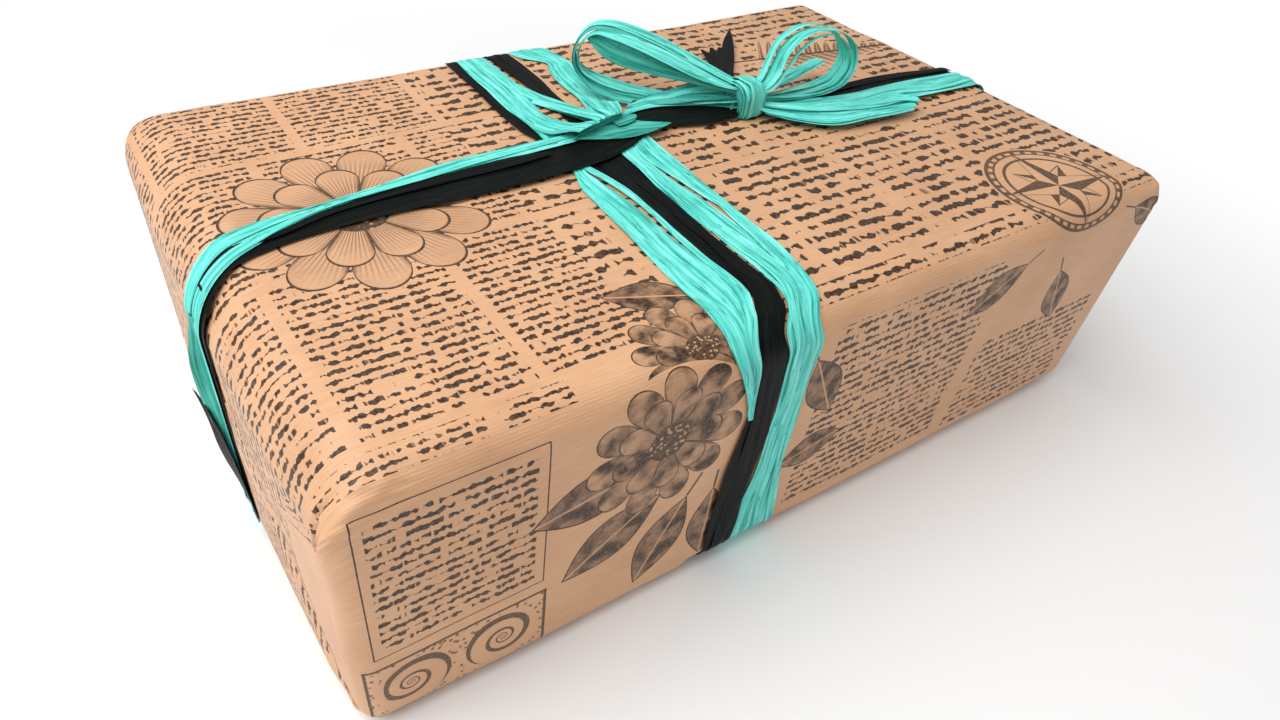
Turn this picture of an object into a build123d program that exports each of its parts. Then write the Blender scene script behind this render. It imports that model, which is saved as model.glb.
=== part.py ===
from build123d import *
import math
import os

# A shoebox sized gift wrapped in brown kraft paper and tied both ways with flat raffia.
# Millimetres. X runs along the parcel, Y to its back and Z up from the surface it lies on.
# The origin is the middle of the underside.

# The parcel, outside its paper
length = 300.0
depth = 183.5
height = 91.5
long_edge_radius = 8.4
left_top_radius = 16.0
end_edge_radius = 8.0
upright_edge_radius = 6.0
end_bulge = 1.2

# The paper folded over each end: the sides are tucked in first, then the top flap comes
# down over them and the bottom flap comes up last
paper_step = 0.5
top_flap_reach = 62.0
bottom_flap_reach = 58.0
seam_y = 38.0
seam_step = 0.3

# The raffia: how thick a flattened strand is and how close its layers lie
strand = 0.4
lay_gap = 0.05
channel_margin = 0.4
knot_ply = 0.9
fold_strand = 0.5
crease_angle = 13.0
tail_reach = 28.1

# Where the black strand's front edge comes down the parcel's left end
left_edge_front = -14.5

# Where the crosswise strands pass under the lengthwise ones, and where the bow is tied
crossing_x = -22.0
crossing_y = 6.0
bow_x = 40.5
bow_y = 8.5

# The bow's knot, and the thickness of its loops and ends
bow_knot_length = 10.5
bow_knot_width = 13.5
bow_knot_height = 12.0
bow_knot_round = 3.5
bow_knot_turns = 3
bow_knot_edge = 0.6
loop_strand = 0.6
tail_strand = 0.8

# The openings through the knot: for the lengthwise strands, and behind for the black ends
knot_pass_width = 9.0
ends_pass_width = 12.6
ends_pass_shift = 2.6

half_length = length / 2
half_depth = depth / 2
flat_half = half_depth - long_edge_radius
knot_reach = bow_knot_length / 2

# The two paper levels under the outermost flap
gusset_end = half_length - 2 * paper_step
top_flap_end = half_length - paper_step

# Raffia levels: crosswise, then the black strand along the parcel, then the teal one.
# Under the parcel they keep that order, with the teal strand flush with the paper.
layer = strand + lay_gap
teal_bottom = strand
black_bottom = teal_bottom + layer
cross_bottom = black_bottom + layer
black_top = height + lay_gap
teal_top = black_top + layer
rise = knot_ply + lay_gap
over_strands = teal_top + rise + layer

# The crosswise raffia is three strands side by side. Each row is a place toward the back
# and the six edges of the strands there, from left to right.
cross_rows = [
    (flat_half, (-33.0, -19.2, -19.0, -11.0, -9.0, 5.0)),
    (half_depth - 31.0, (-33.0, -18.2, -18.0, -12.5, -4.0, 7.0)),
    (crossing_y + 32.0, (-33.0, -16.2, -16.0, -11.0, -7.0, 7.0)),
    (crossing_y + 12.0, (-33.0, -20.2, -20.0, -13.0, -11.0, -0.5)),
    (crossing_y - 8.0, (-35.0, -29.2, -29.0, -18.0, -15.0, -1.0)),
    (crossing_y - 44.0, (-42.0, -28.2, -28.0, -20.2, -18.2, -4.0)),
    (-flat_half, (-45.0, -35.2, -35.0, -26.6, -25.6, -12.5)),
]
# The same six edges down the front face, by height over the floor
front_rows = [
    (height - long_edge_radius, (-45.0, -35.2, -35.0, -26.6, -25.6, -12.5)),
    (height - 30.0, (-41.0, -36.7, -36.5, -27.6, -26.8, -15.0)),
    (height - 52.0, (-40.5, -37.2, -37.0, -26.6, -26.0, -14.0)),
    (long_edge_radius, (-42.0, -39.4, -39.2, -28.6, -28.0, -11.0)),
]
# The lengthwise raffia is two strands that swap sides inside the knot of the bow. Each
# row is a place along the parcel, the black strand's two edges and the teal strand's.
knot_edges = (bow_y - knot_pass_width / 2, bow_y + knot_pass_width / 2)
length_rows = [
    (-half_length, (left_edge_front, -4.0, -12.0, 2.0)),
    (-half_length + 12.0, (-7.6, 1.0, -5.8, 6.4)),
    (-half_length + 26.0, (-3.8, 2.4, 1.4, 9.2)),
    (-half_length + 40.0, (-2.2, 7.2, 6.2, 10.2)),
    (-half_length + 56.0, (-2.0, 9.0, 7.7, 12.0)),
    (-half_length + 78.0, (-3.2, 9.4, 8.3, 16.0)),
    (crossing_x - 23.0, (-3.7, 11.2, 10.2, 16.8)),
    (crossing_x, (-1.6, 12.6, 11.7, 17.0)),
    (crossing_x + 22.0, (3.5, 14.0, 13.2, 20.0)),
    (bow_x - 3 * knot_reach, (3.5, 13.6, 9.0, 17.5)),
    (bow_x - knot_reach, knot_edges * 2),
    (bow_x + knot_reach, knot_edges * 2),
    (bow_x + 3 * knot_reach, (2.4, 12.0, -0.5, 8.6)),
    (bow_x + 36.0, (1.0, 9.5, -7.0, 3.0)),
    (half_length - 36.0, (0.5, 9.0, -10.5, 2.5)),
    (half_length, (-3.0, 6.0, -12.0, 0.0)),
]


def rounded_outline(points, radii):
    """A closed outline of straight runs with a round of its own at each corner."""
    with BuildSketch() as outline:
        with BuildLine():
            FilletPolyline(*points, radius=radii, close=True)
        make_face()
    return outline.sketch


def strip_outline(one_side, other_side, past):
    """The outline of a strip between two smooth edges, with a straight run past each end."""
    with BuildSketch() as outline:
        with BuildLine():
            near = Spline(*one_side)
            far = Spline(*other_side)
            run = Vector(*past)
            Polyline(near @ 0, near @ 0 + run, far @ 0 + run, far @ 0)
            Polyline(near @ 1, near @ 1 - run, far @ 1 - run, far @ 1)
        make_face()
    return outline.sketch


def under_outline(start_row, stop_row, reach, lengthwise=False):
    """A strand's run under the parcel: straight between two rows, and square past them."""
    (start, (a, b)), (stop, (c, d)) = start_row, stop_row
    far = math.copysign(reach, stop - start)
    one_side = [(b, start - far), (b, start), (d, stop), (d, stop + far)]
    other_side = [(c, stop + far), (c, stop), (a, start), (a, start - far)]
    points = one_side + other_side
    if lengthwise:
        points = [(along, across) for across, along in points]
    with BuildSketch() as outline:
        with BuildLine():
            Polyline(*points, close=True)
        make_face()
    return outline.sketch


def wrapped_block(end):
    """The parcel's rounded block, with its two ends at a given distance from the middle."""
    corners = [(-end, 0), (end, 0), (end, height), (-end, height)]
    rounds = [end_edge_radius, end_edge_radius, end_edge_radius, left_top_radius]
    with BuildPart() as block:
        with BuildSketch(Plane.YZ.offset(-length)):
            with Locations((0, height / 2)):
                RectangleRounded(depth, height, long_edge_radius)
        extrude(amount=2 * length)
        with BuildSketch(Plane.XZ.offset(-depth)):
            add(rounded_outline(corners, rounds))
        extrude(amount=2 * depth, mode=Mode.INTERSECT)
        with BuildSketch() as plan:
            with BuildLine():
                side_end = end - end_bulge
                right = ThreePointArc((side_end, -half_depth), (end, 0), (side_end, half_depth))
                left = ThreePointArc((-side_end, half_depth), (-end, 0), (-side_end, -half_depth))
                Line(right @ 1, left @ 0)
                Line(left @ 1, right @ 0)
            make_face()
            fillet(plan.vertices(), upright_edge_radius)
        extrude(amount=height, mode=Mode.INTERSECT)
    return block.part


def end_flaps(end, outline):
    """What a flap's outline takes out of a block, at both ends of the parcel."""
    with BuildPart() as flaps:
        with BuildSketch(Plane.YZ.offset(-length)):
            with BuildLine():
                Polyline(*outline, close=True)
            make_face()
        extrude(amount=2 * length)
        add(wrapped_block(end), mode=Mode.INTERSECT)
        with BuildSketch():
            Rectangle(length - 3 * left_top_radius, 2 * depth)
        extrude(amount=height, mode=Mode.SUBTRACT)
    return flaps.part


def cross_inside(bottom, gap):
    """The inside of a crosswise loop, a gap away from the paper's front, back and top."""
    side = half_depth + gap
    corners = [(-side, bottom), (side, bottom), (side, height + gap), (-side, height + gap)]
    return rounded_outline(corners, [long_edge_radius + gap] * 4)


def length_inside(bottom, side, top, grow, lift=rise):
    """The inside of a lengthwise loop. It climbs from both ends to the bow's knot."""
    points = [
        (-side, bottom),
        (side, bottom),
        (side, top),
        (bow_x + 3 * knot_reach, top + lift),
        (crossing_x - 3 * knot_reach, top + lift),
        (-side, top),
    ]
    foot = end_edge_radius + grow
    slope_round = 60.0
    rounds = [foot, foot, foot, slope_round, slope_round, left_top_radius + grow]
    return rounded_outline(points, rounds)


def cross_strand(first, second):
    """A crosswise strand: a thin loop round the parcel, cut to two of the six edges."""
    past = 2 * long_edge_radius
    top = [[(edges[i], y) for y, edges in cross_rows] for i in (first, second)]
    front = [[(edges[i], z) for z, edges in front_rows] for i in (first, second)]
    back_edges = [cross_rows[0][1][i] for i in (first, second)]
    foot_edges = [front_rows[-1][1][i] for i in (first, second)]
    with BuildPart() as route:
        with BuildSketch(Plane.XY.offset(height - long_edge_radius)):
            add(strip_outline(*top, (0, past)))
        extrude(amount=past)
        with BuildSketch(Plane.XZ.offset(flat_half)):
            add(strip_outline(*front, (0, past)))
            with Locations((0, height - long_edge_radius)):
                Rectangle(length, height, align=(Align.CENTER, Align.MIN), mode=Mode.SUBTRACT)
        extrude(amount=past)
        with BuildSketch():
            add(under_outline((flat_half, back_edges), (-flat_half, foot_edges), past))
        extrude(amount=long_edge_radius)
        with BuildSketch(Plane.XZ.offset(-flat_half)):
            with Locations((sum(back_edges) / 2, height / 2)):
                Rectangle(back_edges[1] - back_edges[0], height)
        extrude(amount=-past)
    inside = cross_inside(cross_bottom, lay_gap)
    with BuildPart() as loop:
        with BuildSketch(Plane.YZ.offset(-half_length)):
            add(offset(inside, strand, mode=Mode.PRIVATE))
            add(inside, mode=Mode.SUBTRACT)
        extrude(amount=length)
        add(route.part, mode=Mode.INTERSECT)
    return loop.part


def length_strand(first, second, bottom, side, top, grow):
    """A lengthwise strand: a thin loop round the parcel, cut to two of the four edges."""
    past = 4 * layer
    edges = [[(x, sides[i]) for x, sides in length_rows] for i in (first, second)]
    ends = [(x, (sides[first], sides[second])) for x, sides in (length_rows[0], length_rows[-1])]
    with BuildPart() as route:
        with BuildSketch(Plane.XY.offset(height / 2)):
            add(strip_outline(*edges, (-past, 0)))
        extrude(amount=height)
        with BuildSketch(Plane.XY.offset(height / 2)):
            add(under_outline(*ends, past, lengthwise=True))
        extrude(amount=-height)
    inside = length_inside(bottom, side, top, grow)
    with BuildPart() as loop:
        with BuildSketch(Plane.XZ.offset(-half_depth)):
            add(offset(inside, strand, mode=Mode.PRIVATE))
            add(inside, mode=Mode.SUBTRACT)
        extrude(amount=depth)
        add(route.part, mode=Mode.INTERSECT)
    return loop.part


# The channels that the strands press into the underside and its edges
back_wide = (cross_rows[0][1][0] - channel_margin, cross_rows[0][1][5] + channel_margin)
foot_wide = (front_rows[-1][1][0] - channel_margin, front_rows[-1][1][5] + channel_margin)
with BuildPart() as cross_channel:
    with BuildSketch(Plane.YZ.offset(-half_length)):
        Rectangle(2 * depth, height / 2)
        add(cross_inside(cross_bottom + lay_gap, 0), mode=Mode.SUBTRACT)
    extrude(amount=length)
    with BuildSketch():
        add(under_outline((flat_half, back_wide), (-flat_half, foot_wide), depth))
    extrude(amount=height, mode=Mode.INTERSECT)

left_sides = length_rows[0][1]
right_sides = length_rows[-1][1]
left_wide = (left_sides[0] - channel_margin, left_sides[3] + channel_margin)
right_wide = (right_sides[2] - channel_margin, right_sides[1] + channel_margin)
with BuildPart() as length_channel:
    with BuildSketch(Plane.XZ.offset(-half_depth)):
        Rectangle(2 * length, height / 2)
        add(length_inside(black_bottom + lay_gap, half_length, height, 0, 0.01), mode=Mode.SUBTRACT)
    extrude(amount=depth)
    with BuildSketch():
        ends = [(-half_length, left_wide), (half_length, right_wide)]
        add(under_outline(*ends, length, lengthwise=True))
    extrude(amount=height, mode=Mode.INTERSECT)

# The wrapped parcel: the box and its paper in one piece. Its end paper lies a step in from
# the flaps, and the flaps narrow at 45 degrees from the corners.
top_flap = [
    (-half_depth, height),
    (half_depth, height),
    (half_depth - top_flap_reach, height - top_flap_reach),
    (top_flap_reach - half_depth, height - top_flap_reach),
]
bottom_flap = [
    (-half_depth, 0),
    (half_depth, 0),
    (half_depth - bottom_flap_reach, bottom_flap_reach),
    (bottom_flap_reach - half_depth, bottom_flap_reach),
]
with BuildPart() as wrapped_parcel:
    add(wrapped_block(gusset_end))
    add(end_flaps(top_flap_end, top_flap))
    add(end_flaps(half_length, bottom_flap))
    # the wrap's last edge runs the length of the underside, one sheet over the other
    with BuildSketch():
        with Locations((0, seam_y)):
            Rectangle(2 * length, depth, align=(Align.CENTER, Align.MIN))
    extrude(amount=seam_step, mode=Mode.SUBTRACT)
    add(cross_channel.part, mode=Mode.SUBTRACT)
    add(length_channel.part, mode=Mode.SUBTRACT)

# The right crosswise strand's end: it comes up from the back over the lengthwise strands,
# drops in a crease and lies flat to a notched tip
crease = Vector(1, 0, 0).rotate(Axis.Z, crease_angle)
crease_start = Vector(crossing_x - 4.0, crossing_y + 4.5, height)
strand_top = lay_gap + strand
over_level = over_strands - height + fold_strand / 2
with BuildPart() as crossing_fold:
    with BuildSketch(Plane(crease_start, x_dir=crease.rotate(Axis.Z, 90), z_dir=crease)):
        with BuildLine() as fold_line:
            FilletPolyline(
                (26.0, strand_top),
                (14.0, strand_top),
                (7.0, over_level + 0.4),
                (0.6, over_level + 2.3),
                (-0.9, over_level + 1.8),
                (-1.5, over_level),
                (-22.0, over_level),
                radius=(12.0, 8.0, 0.7, 0.6, 0.6),
            )
        trace(line_width=fold_strand)
    extrude(amount=2 * tail_reach, both=True)
    with BuildSketch(Plane.XY.offset(height)):
        with BuildLine():
            run_right = Spline(
                (crossing_x + 24.5, crossing_y + 27.0),
                (crossing_x + 21.3, crossing_y + 19.6),
                (crossing_x + 19.6, crossing_y + 12.8),
                (crossing_x + 18.5, crossing_y + 9.0),
            )
            tail_front = Spline(
                (crossing_x + tail_reach, crossing_y + 0.4),
                (crossing_x + 18.3, crossing_y - 2.3),
                (crossing_x + 9.8, crossing_y - 1.9),
                (crossing_x - 3.4, crossing_y + 3.0),
            )
            run_left = Spline(
                (crossing_x - 3.3, crossing_y + 5.5),
                (crossing_x + 6.6, crossing_y + 12.8),
                (crossing_x + 10.8, crossing_y + 20.0),
                (crossing_x + 13.0, crossing_y + 27.0),
            )
            notch = (crossing_x + 19.9, crossing_y + 3.3)
            short_tip = (crossing_x + 21.5, crossing_y + 6.0)
            Polyline(run_right @ 1, short_tip, notch, tail_front @ 0)
            Line(tail_front @ 1, run_left @ 0)
            Line(run_left @ 1, run_right @ 0)
        make_face()
    extrude(amount=height, mode=Mode.INTERSECT)

# The crosswise strands, from left to right
with BuildPart() as teal_cross_left:
    add(cross_strand(0, 1))
with BuildPart() as black_cross:
    add(cross_strand(2, 3))
with BuildPart() as teal_cross_right:
    add(cross_strand(4, 5))
    add(crossing_fold.part)

# The teal lengthwise strand, over the black one
with BuildPart() as teal_lengthwise:
    add(length_strand(2, 3, teal_bottom, half_length + lay_gap + layer, teal_top, layer))

# The black lengthwise strand. Both its ends come out of the back of the bow's knot, one cut
# ragged and one drawn out thin, and a split of it stands off the parcel's left end.
ends_level = black_top + rise - strand / 2
split_root = -half_length - lay_gap - strand / 2
with BuildPart() as loose_split:
    with BuildSketch(Plane.XZ.offset(-half_depth)):
        with BuildLine() as split_line:
            ThreePointArc((split_root, 8.0), (split_root - 2.0, 30.0), (split_root - 5.4, 52.0))
        trace(line_width=strand)
    extrude(amount=depth)
    with BuildSketch(Plane.YZ.offset(-length)):
        with BuildLine():
            foot_front = left_edge_front + 0.2
            Polyline(
                (foot_front, 7.0),
                (foot_front + 1.9, 7.0),
                (foot_front + 2.0, 18.0),
                (foot_front + 10.3, 36.0),
                (foot_front + 16.3, 52.0),
                (foot_front + 13.3, 49.0),
                (foot_front + 9.5, 52.0),
                (foot_front + 4.3, 36.0),
                (foot_front, 18.0),
                close=True,
            )
        make_face()
    extrude(amount=length, mode=Mode.INTERSECT)
with BuildPart() as black_lengthwise:
    add(length_strand(0, 1, black_bottom, half_length + lay_gap, black_top, lay_gap))
    add(loose_split.part)
    with BuildSketch(Plane.XY.offset(ends_level)):
        with BuildLine():
            Polyline(
                (bow_x - 3.7, bow_y + 2.5),
                (bow_x + 1.5, bow_y + 2.5),
                (bow_x + 8.5, bow_y + 22.5),
                (bow_x + 21.5, bow_y + 39.5),
                (bow_x + 18.5, bow_y + 38.0),
                (bow_x + 18.5, bow_y + 42.0),
                (bow_x + 15.5, bow_y + 39.0),
                (bow_x + 13.0, bow_y + 41.5),
                (bow_x + 1.5, bow_y + 23.5),
                close=True,
            )
        make_face()
        with BuildLine():
            Polyline(
                (bow_x + 1.6, bow_y + 2.5),
                (bow_x + 4.1, bow_y + 2.5),
                (bow_x + 28.0, bow_y + 37.0),
                (bow_x + 39.5, bow_y + 56.5),
                (bow_x + 25.0, bow_y + 38.5),
                close=True,
            )
        make_face()
    extrude(amount=strand)


def bow_loop(turn, outline, rounds, widths):
    """A loop of flat strand that stands on its edgewise outline, narrow at the knot."""
    far = max(point[0] for point in outline) + 1
    near_half, far_half = widths[0] / 2, widths[1] / 2
    plane = Plane(origin=(bow_x, bow_y, height), x_dir=Vector(1, 0, 0).rotate(Axis.Z, turn))
    upright = Plane(origin=plane.origin, x_dir=plane.x_dir, z_dir=-plane.y_dir)
    with BuildPart() as loop:
        with BuildSketch(upright):
            with BuildLine():
                FilletPolyline(*outline, radius=rounds, close=True)
            make_face()
            offset(amount=-loop_strand, mode=Mode.SUBTRACT)
        extrude(amount=widths[1], both=True)
        with BuildSketch(plane):
            with BuildLine():
                near_side = [(0, near_half), (0, -near_half)]
                Polyline(*near_side, (far, -far_half), (far, far_half), close=True)
            make_face()
        extrude(amount=height, mode=Mode.INTERSECT)
    return loop.part


def knot_turn(turn):
    """One turn of strand round the bow's knot. The middle turn stands proud of the others."""
    turn_length = bow_knot_length / bow_knot_turns
    middle = (bow_knot_turns - 1) / 2
    inset = bow_knot_edge * abs(turn - middle) / middle
    turn_height = bow_knot_height - inset
    with BuildPart() as ring:
        with BuildSketch(Plane.YZ.offset(bow_x - knot_reach + turn * turn_length)):
            with Locations((bow_y, black_top + turn_height / 2)):
                RectangleRounded(bow_knot_width - 2 * inset, turn_height, bow_knot_round)
        extrude(amount=turn_length)
        ends = ring.faces().sort_by(Axis.X)
        chamfer(ends[0].edges() + ends[-1].edges(), bow_knot_edge)
    return ring.part


# The bow, tied round the lengthwise strands: outlines of its two loops by distance from
# the knot and height over the paper
clear = over_strands - height + lay_gap
left_loop_turn = 136.6
left_loop_outline = [
    (0, clear + 1.0),
    (0, 8.6),
    (26.0, 19.5),
    (51.0, 25.0),
    (63.0, 15.5),
    (54.0, 0.5),
    (32.0, 0.5),
    (14.0, clear + 0.3),
]
left_loop_rounds = [0.5, 0.5, 40.0, 8.0, 8.0, 7.0, 20.0, 20.0]
right_loop_turn = 4.0
right_loop_outline = [
    (0, clear + 1.0),
    (0, 8.6),
    (10.5, 7.8),
    (13.5, 20.5),
    (24.0, 25.0),
    (40.0, 23.0),
    (52.0, 10.5),
    (42.0, clear + 0.6),
    (24.0, clear + 0.3),
]
right_loop_rounds = [0.5, 0.5, 3.0, 6.0, 12.0, 14.0, 7.0, 12.0, 20.0]

with BuildPart() as teal_bow:
    for turn in range(bow_knot_turns):
        add(knot_turn(turn))
    add(bow_loop(left_loop_turn, left_loop_outline, left_loop_rounds, (6.0, 12.5)))
    add(bow_loop(right_loop_turn, right_loop_outline, right_loop_rounds, (5.5, 7.5)))
    # the long end lies forward over the paper and the blunt one inside the right loop
    with BuildSketch(Plane.XY.offset(height + clear)):
        with BuildLine():
            front_edge = Spline(
                (bow_x + 1.0, bow_y - 5.5),
                (bow_x + 10.0, bow_y - 16.5),
                (bow_x + 20.0, bow_y - 24.0),
                (bow_x + 40.0, bow_y - 26.0),
                (bow_x + 57.0, bow_y - 28.0),
            )
            back_edge = Spline(
                (bow_x + 1.0, bow_y + 2.0),
                (bow_x + 13.0, bow_y - 5.5),
                (bow_x + 24.0, bow_y - 12.5),
                (bow_x + 40.0, bow_y - 15.0),
                (bow_x + 59.0, bow_y - 19.0),
            )
            Line(front_edge @ 0, back_edge @ 0)
            Polyline(front_edge @ 1, (bow_x + 63.0, bow_y - 24.5), back_edge @ 1)
        make_face()
    extrude(amount=tail_strand)
    with BuildSketch(Plane.XY.offset(height + clear + 3.0)):
        with BuildLine():
            Polyline(
                (bow_x + 2.0, bow_y - 1.0),
                (bow_x + 26.0, bow_y + 3.5),
                (bow_x + 50.0, bow_y + 10.0),
                (bow_x + 48.0, bow_y + 16.5),
                (bow_x + 24.0, bow_y + 9.5),
                (bow_x + 2.0, bow_y + 4.0),
                close=True,
            )
        make_face()
    extrude(amount=tail_strand)
    # the passage for the two strands that the knot is tied round, and for the black ends
    with BuildSketch(Plane.YZ.offset(bow_x - bow_knot_length)):
        with Locations((bow_y, black_top + rise - lay_gap)):
            pass_width = knot_pass_width + 2 * channel_margin
            Rectangle(pass_width, 2 * layer + lay_gap, align=(Align.CENTER, Align.MIN))
    extrude(amount=2 * bow_knot_length, mode=Mode.SUBTRACT)
    with BuildSketch(Plane.XY.offset(ends_level - lay_gap)):
        with Locations((bow_x + ends_pass_shift, bow_y)):
            Rectangle(ends_pass_width, bow_knot_width, align=(Align.CENTER, Align.MIN))
    extrude(amount=strand + 2 * lay_gap, mode=Mode.SUBTRACT)

pieces = {
    "wrapped_parcel": wrapped_parcel,
    "teal_cross_left": teal_cross_left,
    "black_cross": black_cross,
    "teal_cross_right": teal_cross_right,
    "black_lengthwise": black_lengthwise,
    "teal_lengthwise": teal_lengthwise,
    "teal_bow": teal_bow,
}
os.makedirs("parts", exist_ok=True)
for name, piece in pieces.items():
    piece.part.label = name
    export_step(piece.part, f"parts/{name}.step")
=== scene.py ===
import math

import bpy
import numpy as np
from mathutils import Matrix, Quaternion, Vector


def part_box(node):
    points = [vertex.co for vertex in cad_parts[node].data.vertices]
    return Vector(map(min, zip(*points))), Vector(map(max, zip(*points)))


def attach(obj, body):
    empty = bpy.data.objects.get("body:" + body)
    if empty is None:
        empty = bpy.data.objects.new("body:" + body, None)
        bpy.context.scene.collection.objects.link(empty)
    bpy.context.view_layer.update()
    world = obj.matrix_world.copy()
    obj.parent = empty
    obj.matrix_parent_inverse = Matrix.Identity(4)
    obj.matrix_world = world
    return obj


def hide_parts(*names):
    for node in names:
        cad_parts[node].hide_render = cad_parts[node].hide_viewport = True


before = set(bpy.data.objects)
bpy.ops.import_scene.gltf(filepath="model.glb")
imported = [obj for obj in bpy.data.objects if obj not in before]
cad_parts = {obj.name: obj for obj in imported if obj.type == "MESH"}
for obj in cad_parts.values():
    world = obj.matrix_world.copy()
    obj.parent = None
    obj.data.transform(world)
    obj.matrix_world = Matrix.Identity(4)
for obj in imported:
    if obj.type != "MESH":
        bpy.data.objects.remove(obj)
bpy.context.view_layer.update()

# Millimetres are used throughout, in the frame's axes, and turned to metres as a mesh is made.
MM = 0.001
low, high = (np.array(corner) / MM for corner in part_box("wrapped_parcel"))
half_length, half_depth, height = (high[0] - low[0]) / 2, (high[1] - low[1]) / 2, high[2]


# The camera stands over the parcel's near left corner and looks down along it, with a wide
# lens and a slight roll.
camera_place = Vector((-166.0, -196.5, 216.2))
view_direction = Vector((0.42936, 0.58374, -0.68913))
camera_roll = math.radians(5.51)
focal_pixels, picture_width = 842.5, 1280.0
optical_centre_x, optical_centre_y = 583.8, 407.2

camera = bpy.data.objects.new("camera", bpy.data.cameras.new("camera"))
bpy.context.scene.collection.objects.link(camera)
bpy.context.scene.camera = camera
camera.location = camera_place * MM
turn = view_direction.to_track_quat("-Z", "Y") @ Quaternion((0, 0, 1), camera_roll)
camera.rotation_euler = turn.to_euler()
camera.data.sensor_width = 36.0
camera.data.lens = camera.data.sensor_width * focal_pixels / picture_width
camera.data.shift_x = (picture_width / 2 - optical_centre_x) / picture_width
camera.data.shift_y = (optical_centre_y - picture_width * 9 / 32) / picture_width
camera.data.clip_start = 0.01


# A white table and surround, with a wide soft lamp high over the parcel's left end and plain
# white light from everywhere else.
surround_light = 0.46
lamp_watts, lamp_width = 5.75, 0.9
lamp_place = Vector((-370.0, 60.0, 640.0))
table_half = 2500.0
# Metres from the parcel's middle where the table begins to turn plain white, and where it has
fade_from, plain_from = 0.20, 0.42


def linear(colour):
    """An sRGB hex colour such as C8A27A as the linear colour that a shader takes."""
    values = np.array([int(colour[i:i + 2], 16) for i in (0, 2, 4)]) / 255.0
    curve = np.where(values <= 0.04045, values / 12.92, ((values + 0.055) / 1.055) ** 2.4)
    return (*curve.tolist(), 1.0)


def add_node(tree, kind, inputs=(), output=0, **settings):
    """Adds a node with its settings, gives its inputs their values or links, and returns one
    of its outputs. Inputs go by order or, in a dict, by name. A kind in capitals is an
    operation of the math node."""
    if kind.isupper():
        kind, settings["operation"] = "Math", kind
    node = tree.nodes.new(kind if kind.startswith("Node") else "ShaderNode" + kind)
    for name, value in settings.items():
        setattr(node, name, value)
    pairs = inputs.items() if isinstance(inputs, dict) else enumerate(inputs)
    for key, value in pairs:
        if isinstance(value, bpy.types.NodeSocket):
            tree.links.new(value, node.inputs[key])
        elif value is not None:
            node.inputs[key].default_value = value
    return node.outputs[output] if len(node.outputs) else None


def new_material(name):
    """An empty material and its tree."""
    material = bpy.data.materials.new(name)
    material.use_nodes = True
    material.node_tree.nodes.clear()
    return material, material.node_tree


bpy.context.scene.view_settings.view_transform = "Standard"
world = bpy.data.worlds.new("white_surround")
bpy.context.scene.world = world
world.use_nodes = True
background = world.node_tree.nodes["Background"]
background.inputs["Color"].default_value = (1.0, 1.0, 1.0, 1.0)
rays = add_node(world.node_tree, "LightPath").node.outputs
seen = add_node(world.node_tree, "MAXIMUM",
                [rays["Is Camera Ray"], rays["Is Transmission Ray"]])
strength = add_node(world.node_tree, "MapRange", [seen, 0.0, 1.0, surround_light, 1.0])
world.node_tree.links.new(strength, background.inputs["Strength"])

lamp = bpy.data.objects.new("soft_lamp", bpy.data.lights.new("soft_lamp", "AREA"))
bpy.context.scene.collection.objects.link(lamp)
lamp.data.shape = "DISK"
lamp.data.size = lamp_width
lamp.data.energy = lamp_watts
lamp.location = lamp_place * MM
lamp.rotation_euler = (-lamp_place).to_track_quat("-Z", "Y").to_euler()

floor_mesh = bpy.data.meshes.new("floor")
floor_corners = [(-1, -1), (1, -1), (1, 1), (-1, 1)]
floor_points = [(x * table_half * MM, y * table_half * MM, 0.0) for x, y in floor_corners]
floor_mesh.from_pydata(floor_points, [], [(0, 1, 2, 3)])
floor = bpy.data.objects.new("floor", floor_mesh)
bpy.context.scene.collection.objects.link(floor)

# White card that catches the parcel's shadow. Far from the parcel a camera sees it as plain
# white, like the surround, from any side.
card, tree = new_material("white_card")
matt = add_node(tree, "BsdfDiffuse", {"Color": linear("FBFBFB")})
plain = add_node(tree, "Emission", {"Color": linear("FFFFFF"), "Strength": 1.0})
place = add_node(tree, "TexCoord", output="Object")
far = add_node(tree, "VectorMath", [place], output="Value", operation="LENGTH")
far = add_node(tree, "MapRange", [far, fade_from, plain_from, 0.0, 1.0],
               interpolation_type="SMOOTHSTEP")
seen = add_node(tree, "LightPath", output="Is Camera Ray")
far = add_node(tree, "MULTIPLY", [far, seen])
mixed = add_node(tree, "MixShader", [far, matt, plain])
add_node(tree, "OutputMaterial", [mixed])
floor_mesh.materials.append(card)


# The parcel: a shoebox wrapped in one sheet of brown kraft paper. The sheet goes round the
# long sides, overlaps on the underside and is folded in over both ends, sides first.
long_edge_radius = 8.4
end_radius = 8.0
left_top_radius = 16.0
side_end_radius = 6.0
end_bulge = 1.2
paper_step = 0.45
seam_y, seam_step = 38.0, 0.3
top_flap_reach, bottom_flap_reach = 62.0, 58.0
gusset_end = half_length - 2 * paper_step
depth = 2 * half_depth
girth = 2 * (depth + height)
seam_v = -height - (half_depth - seam_y)


def hash_noise(x, y, seed):
    """Smooth noise between -1 and 1: random values on a square lattice, blended between the
    lattice's corners with the curve 3t squared minus 2t cubed."""
    def corner(i, j):
        value = np.sin(i * 127.1 + j * 311.7 + seed * 74.7) * 43758.5453
        return 2 * (value - np.floor(value)) - 1

    i, j = np.floor(x), np.floor(y)
    s, t = x - i, y - j
    s, t = s * s * (3 - 2 * s), t * t * (3 - 2 * t)
    near = corner(i, j) * (1 - s) + corner(i + 1, j) * s
    far = corner(i, j + 1) * (1 - s) + corner(i + 1, j + 1) * s
    return near * (1 - t) + far * t


def smooth_step(x, start, stop):
    """From 0 at start to 1 at stop, with the curve 3t squared minus 2t cubed."""
    t = np.clip((x - start) / (stop - start), 0, 1)
    return t * t * (3 - 2 * t)


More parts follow.
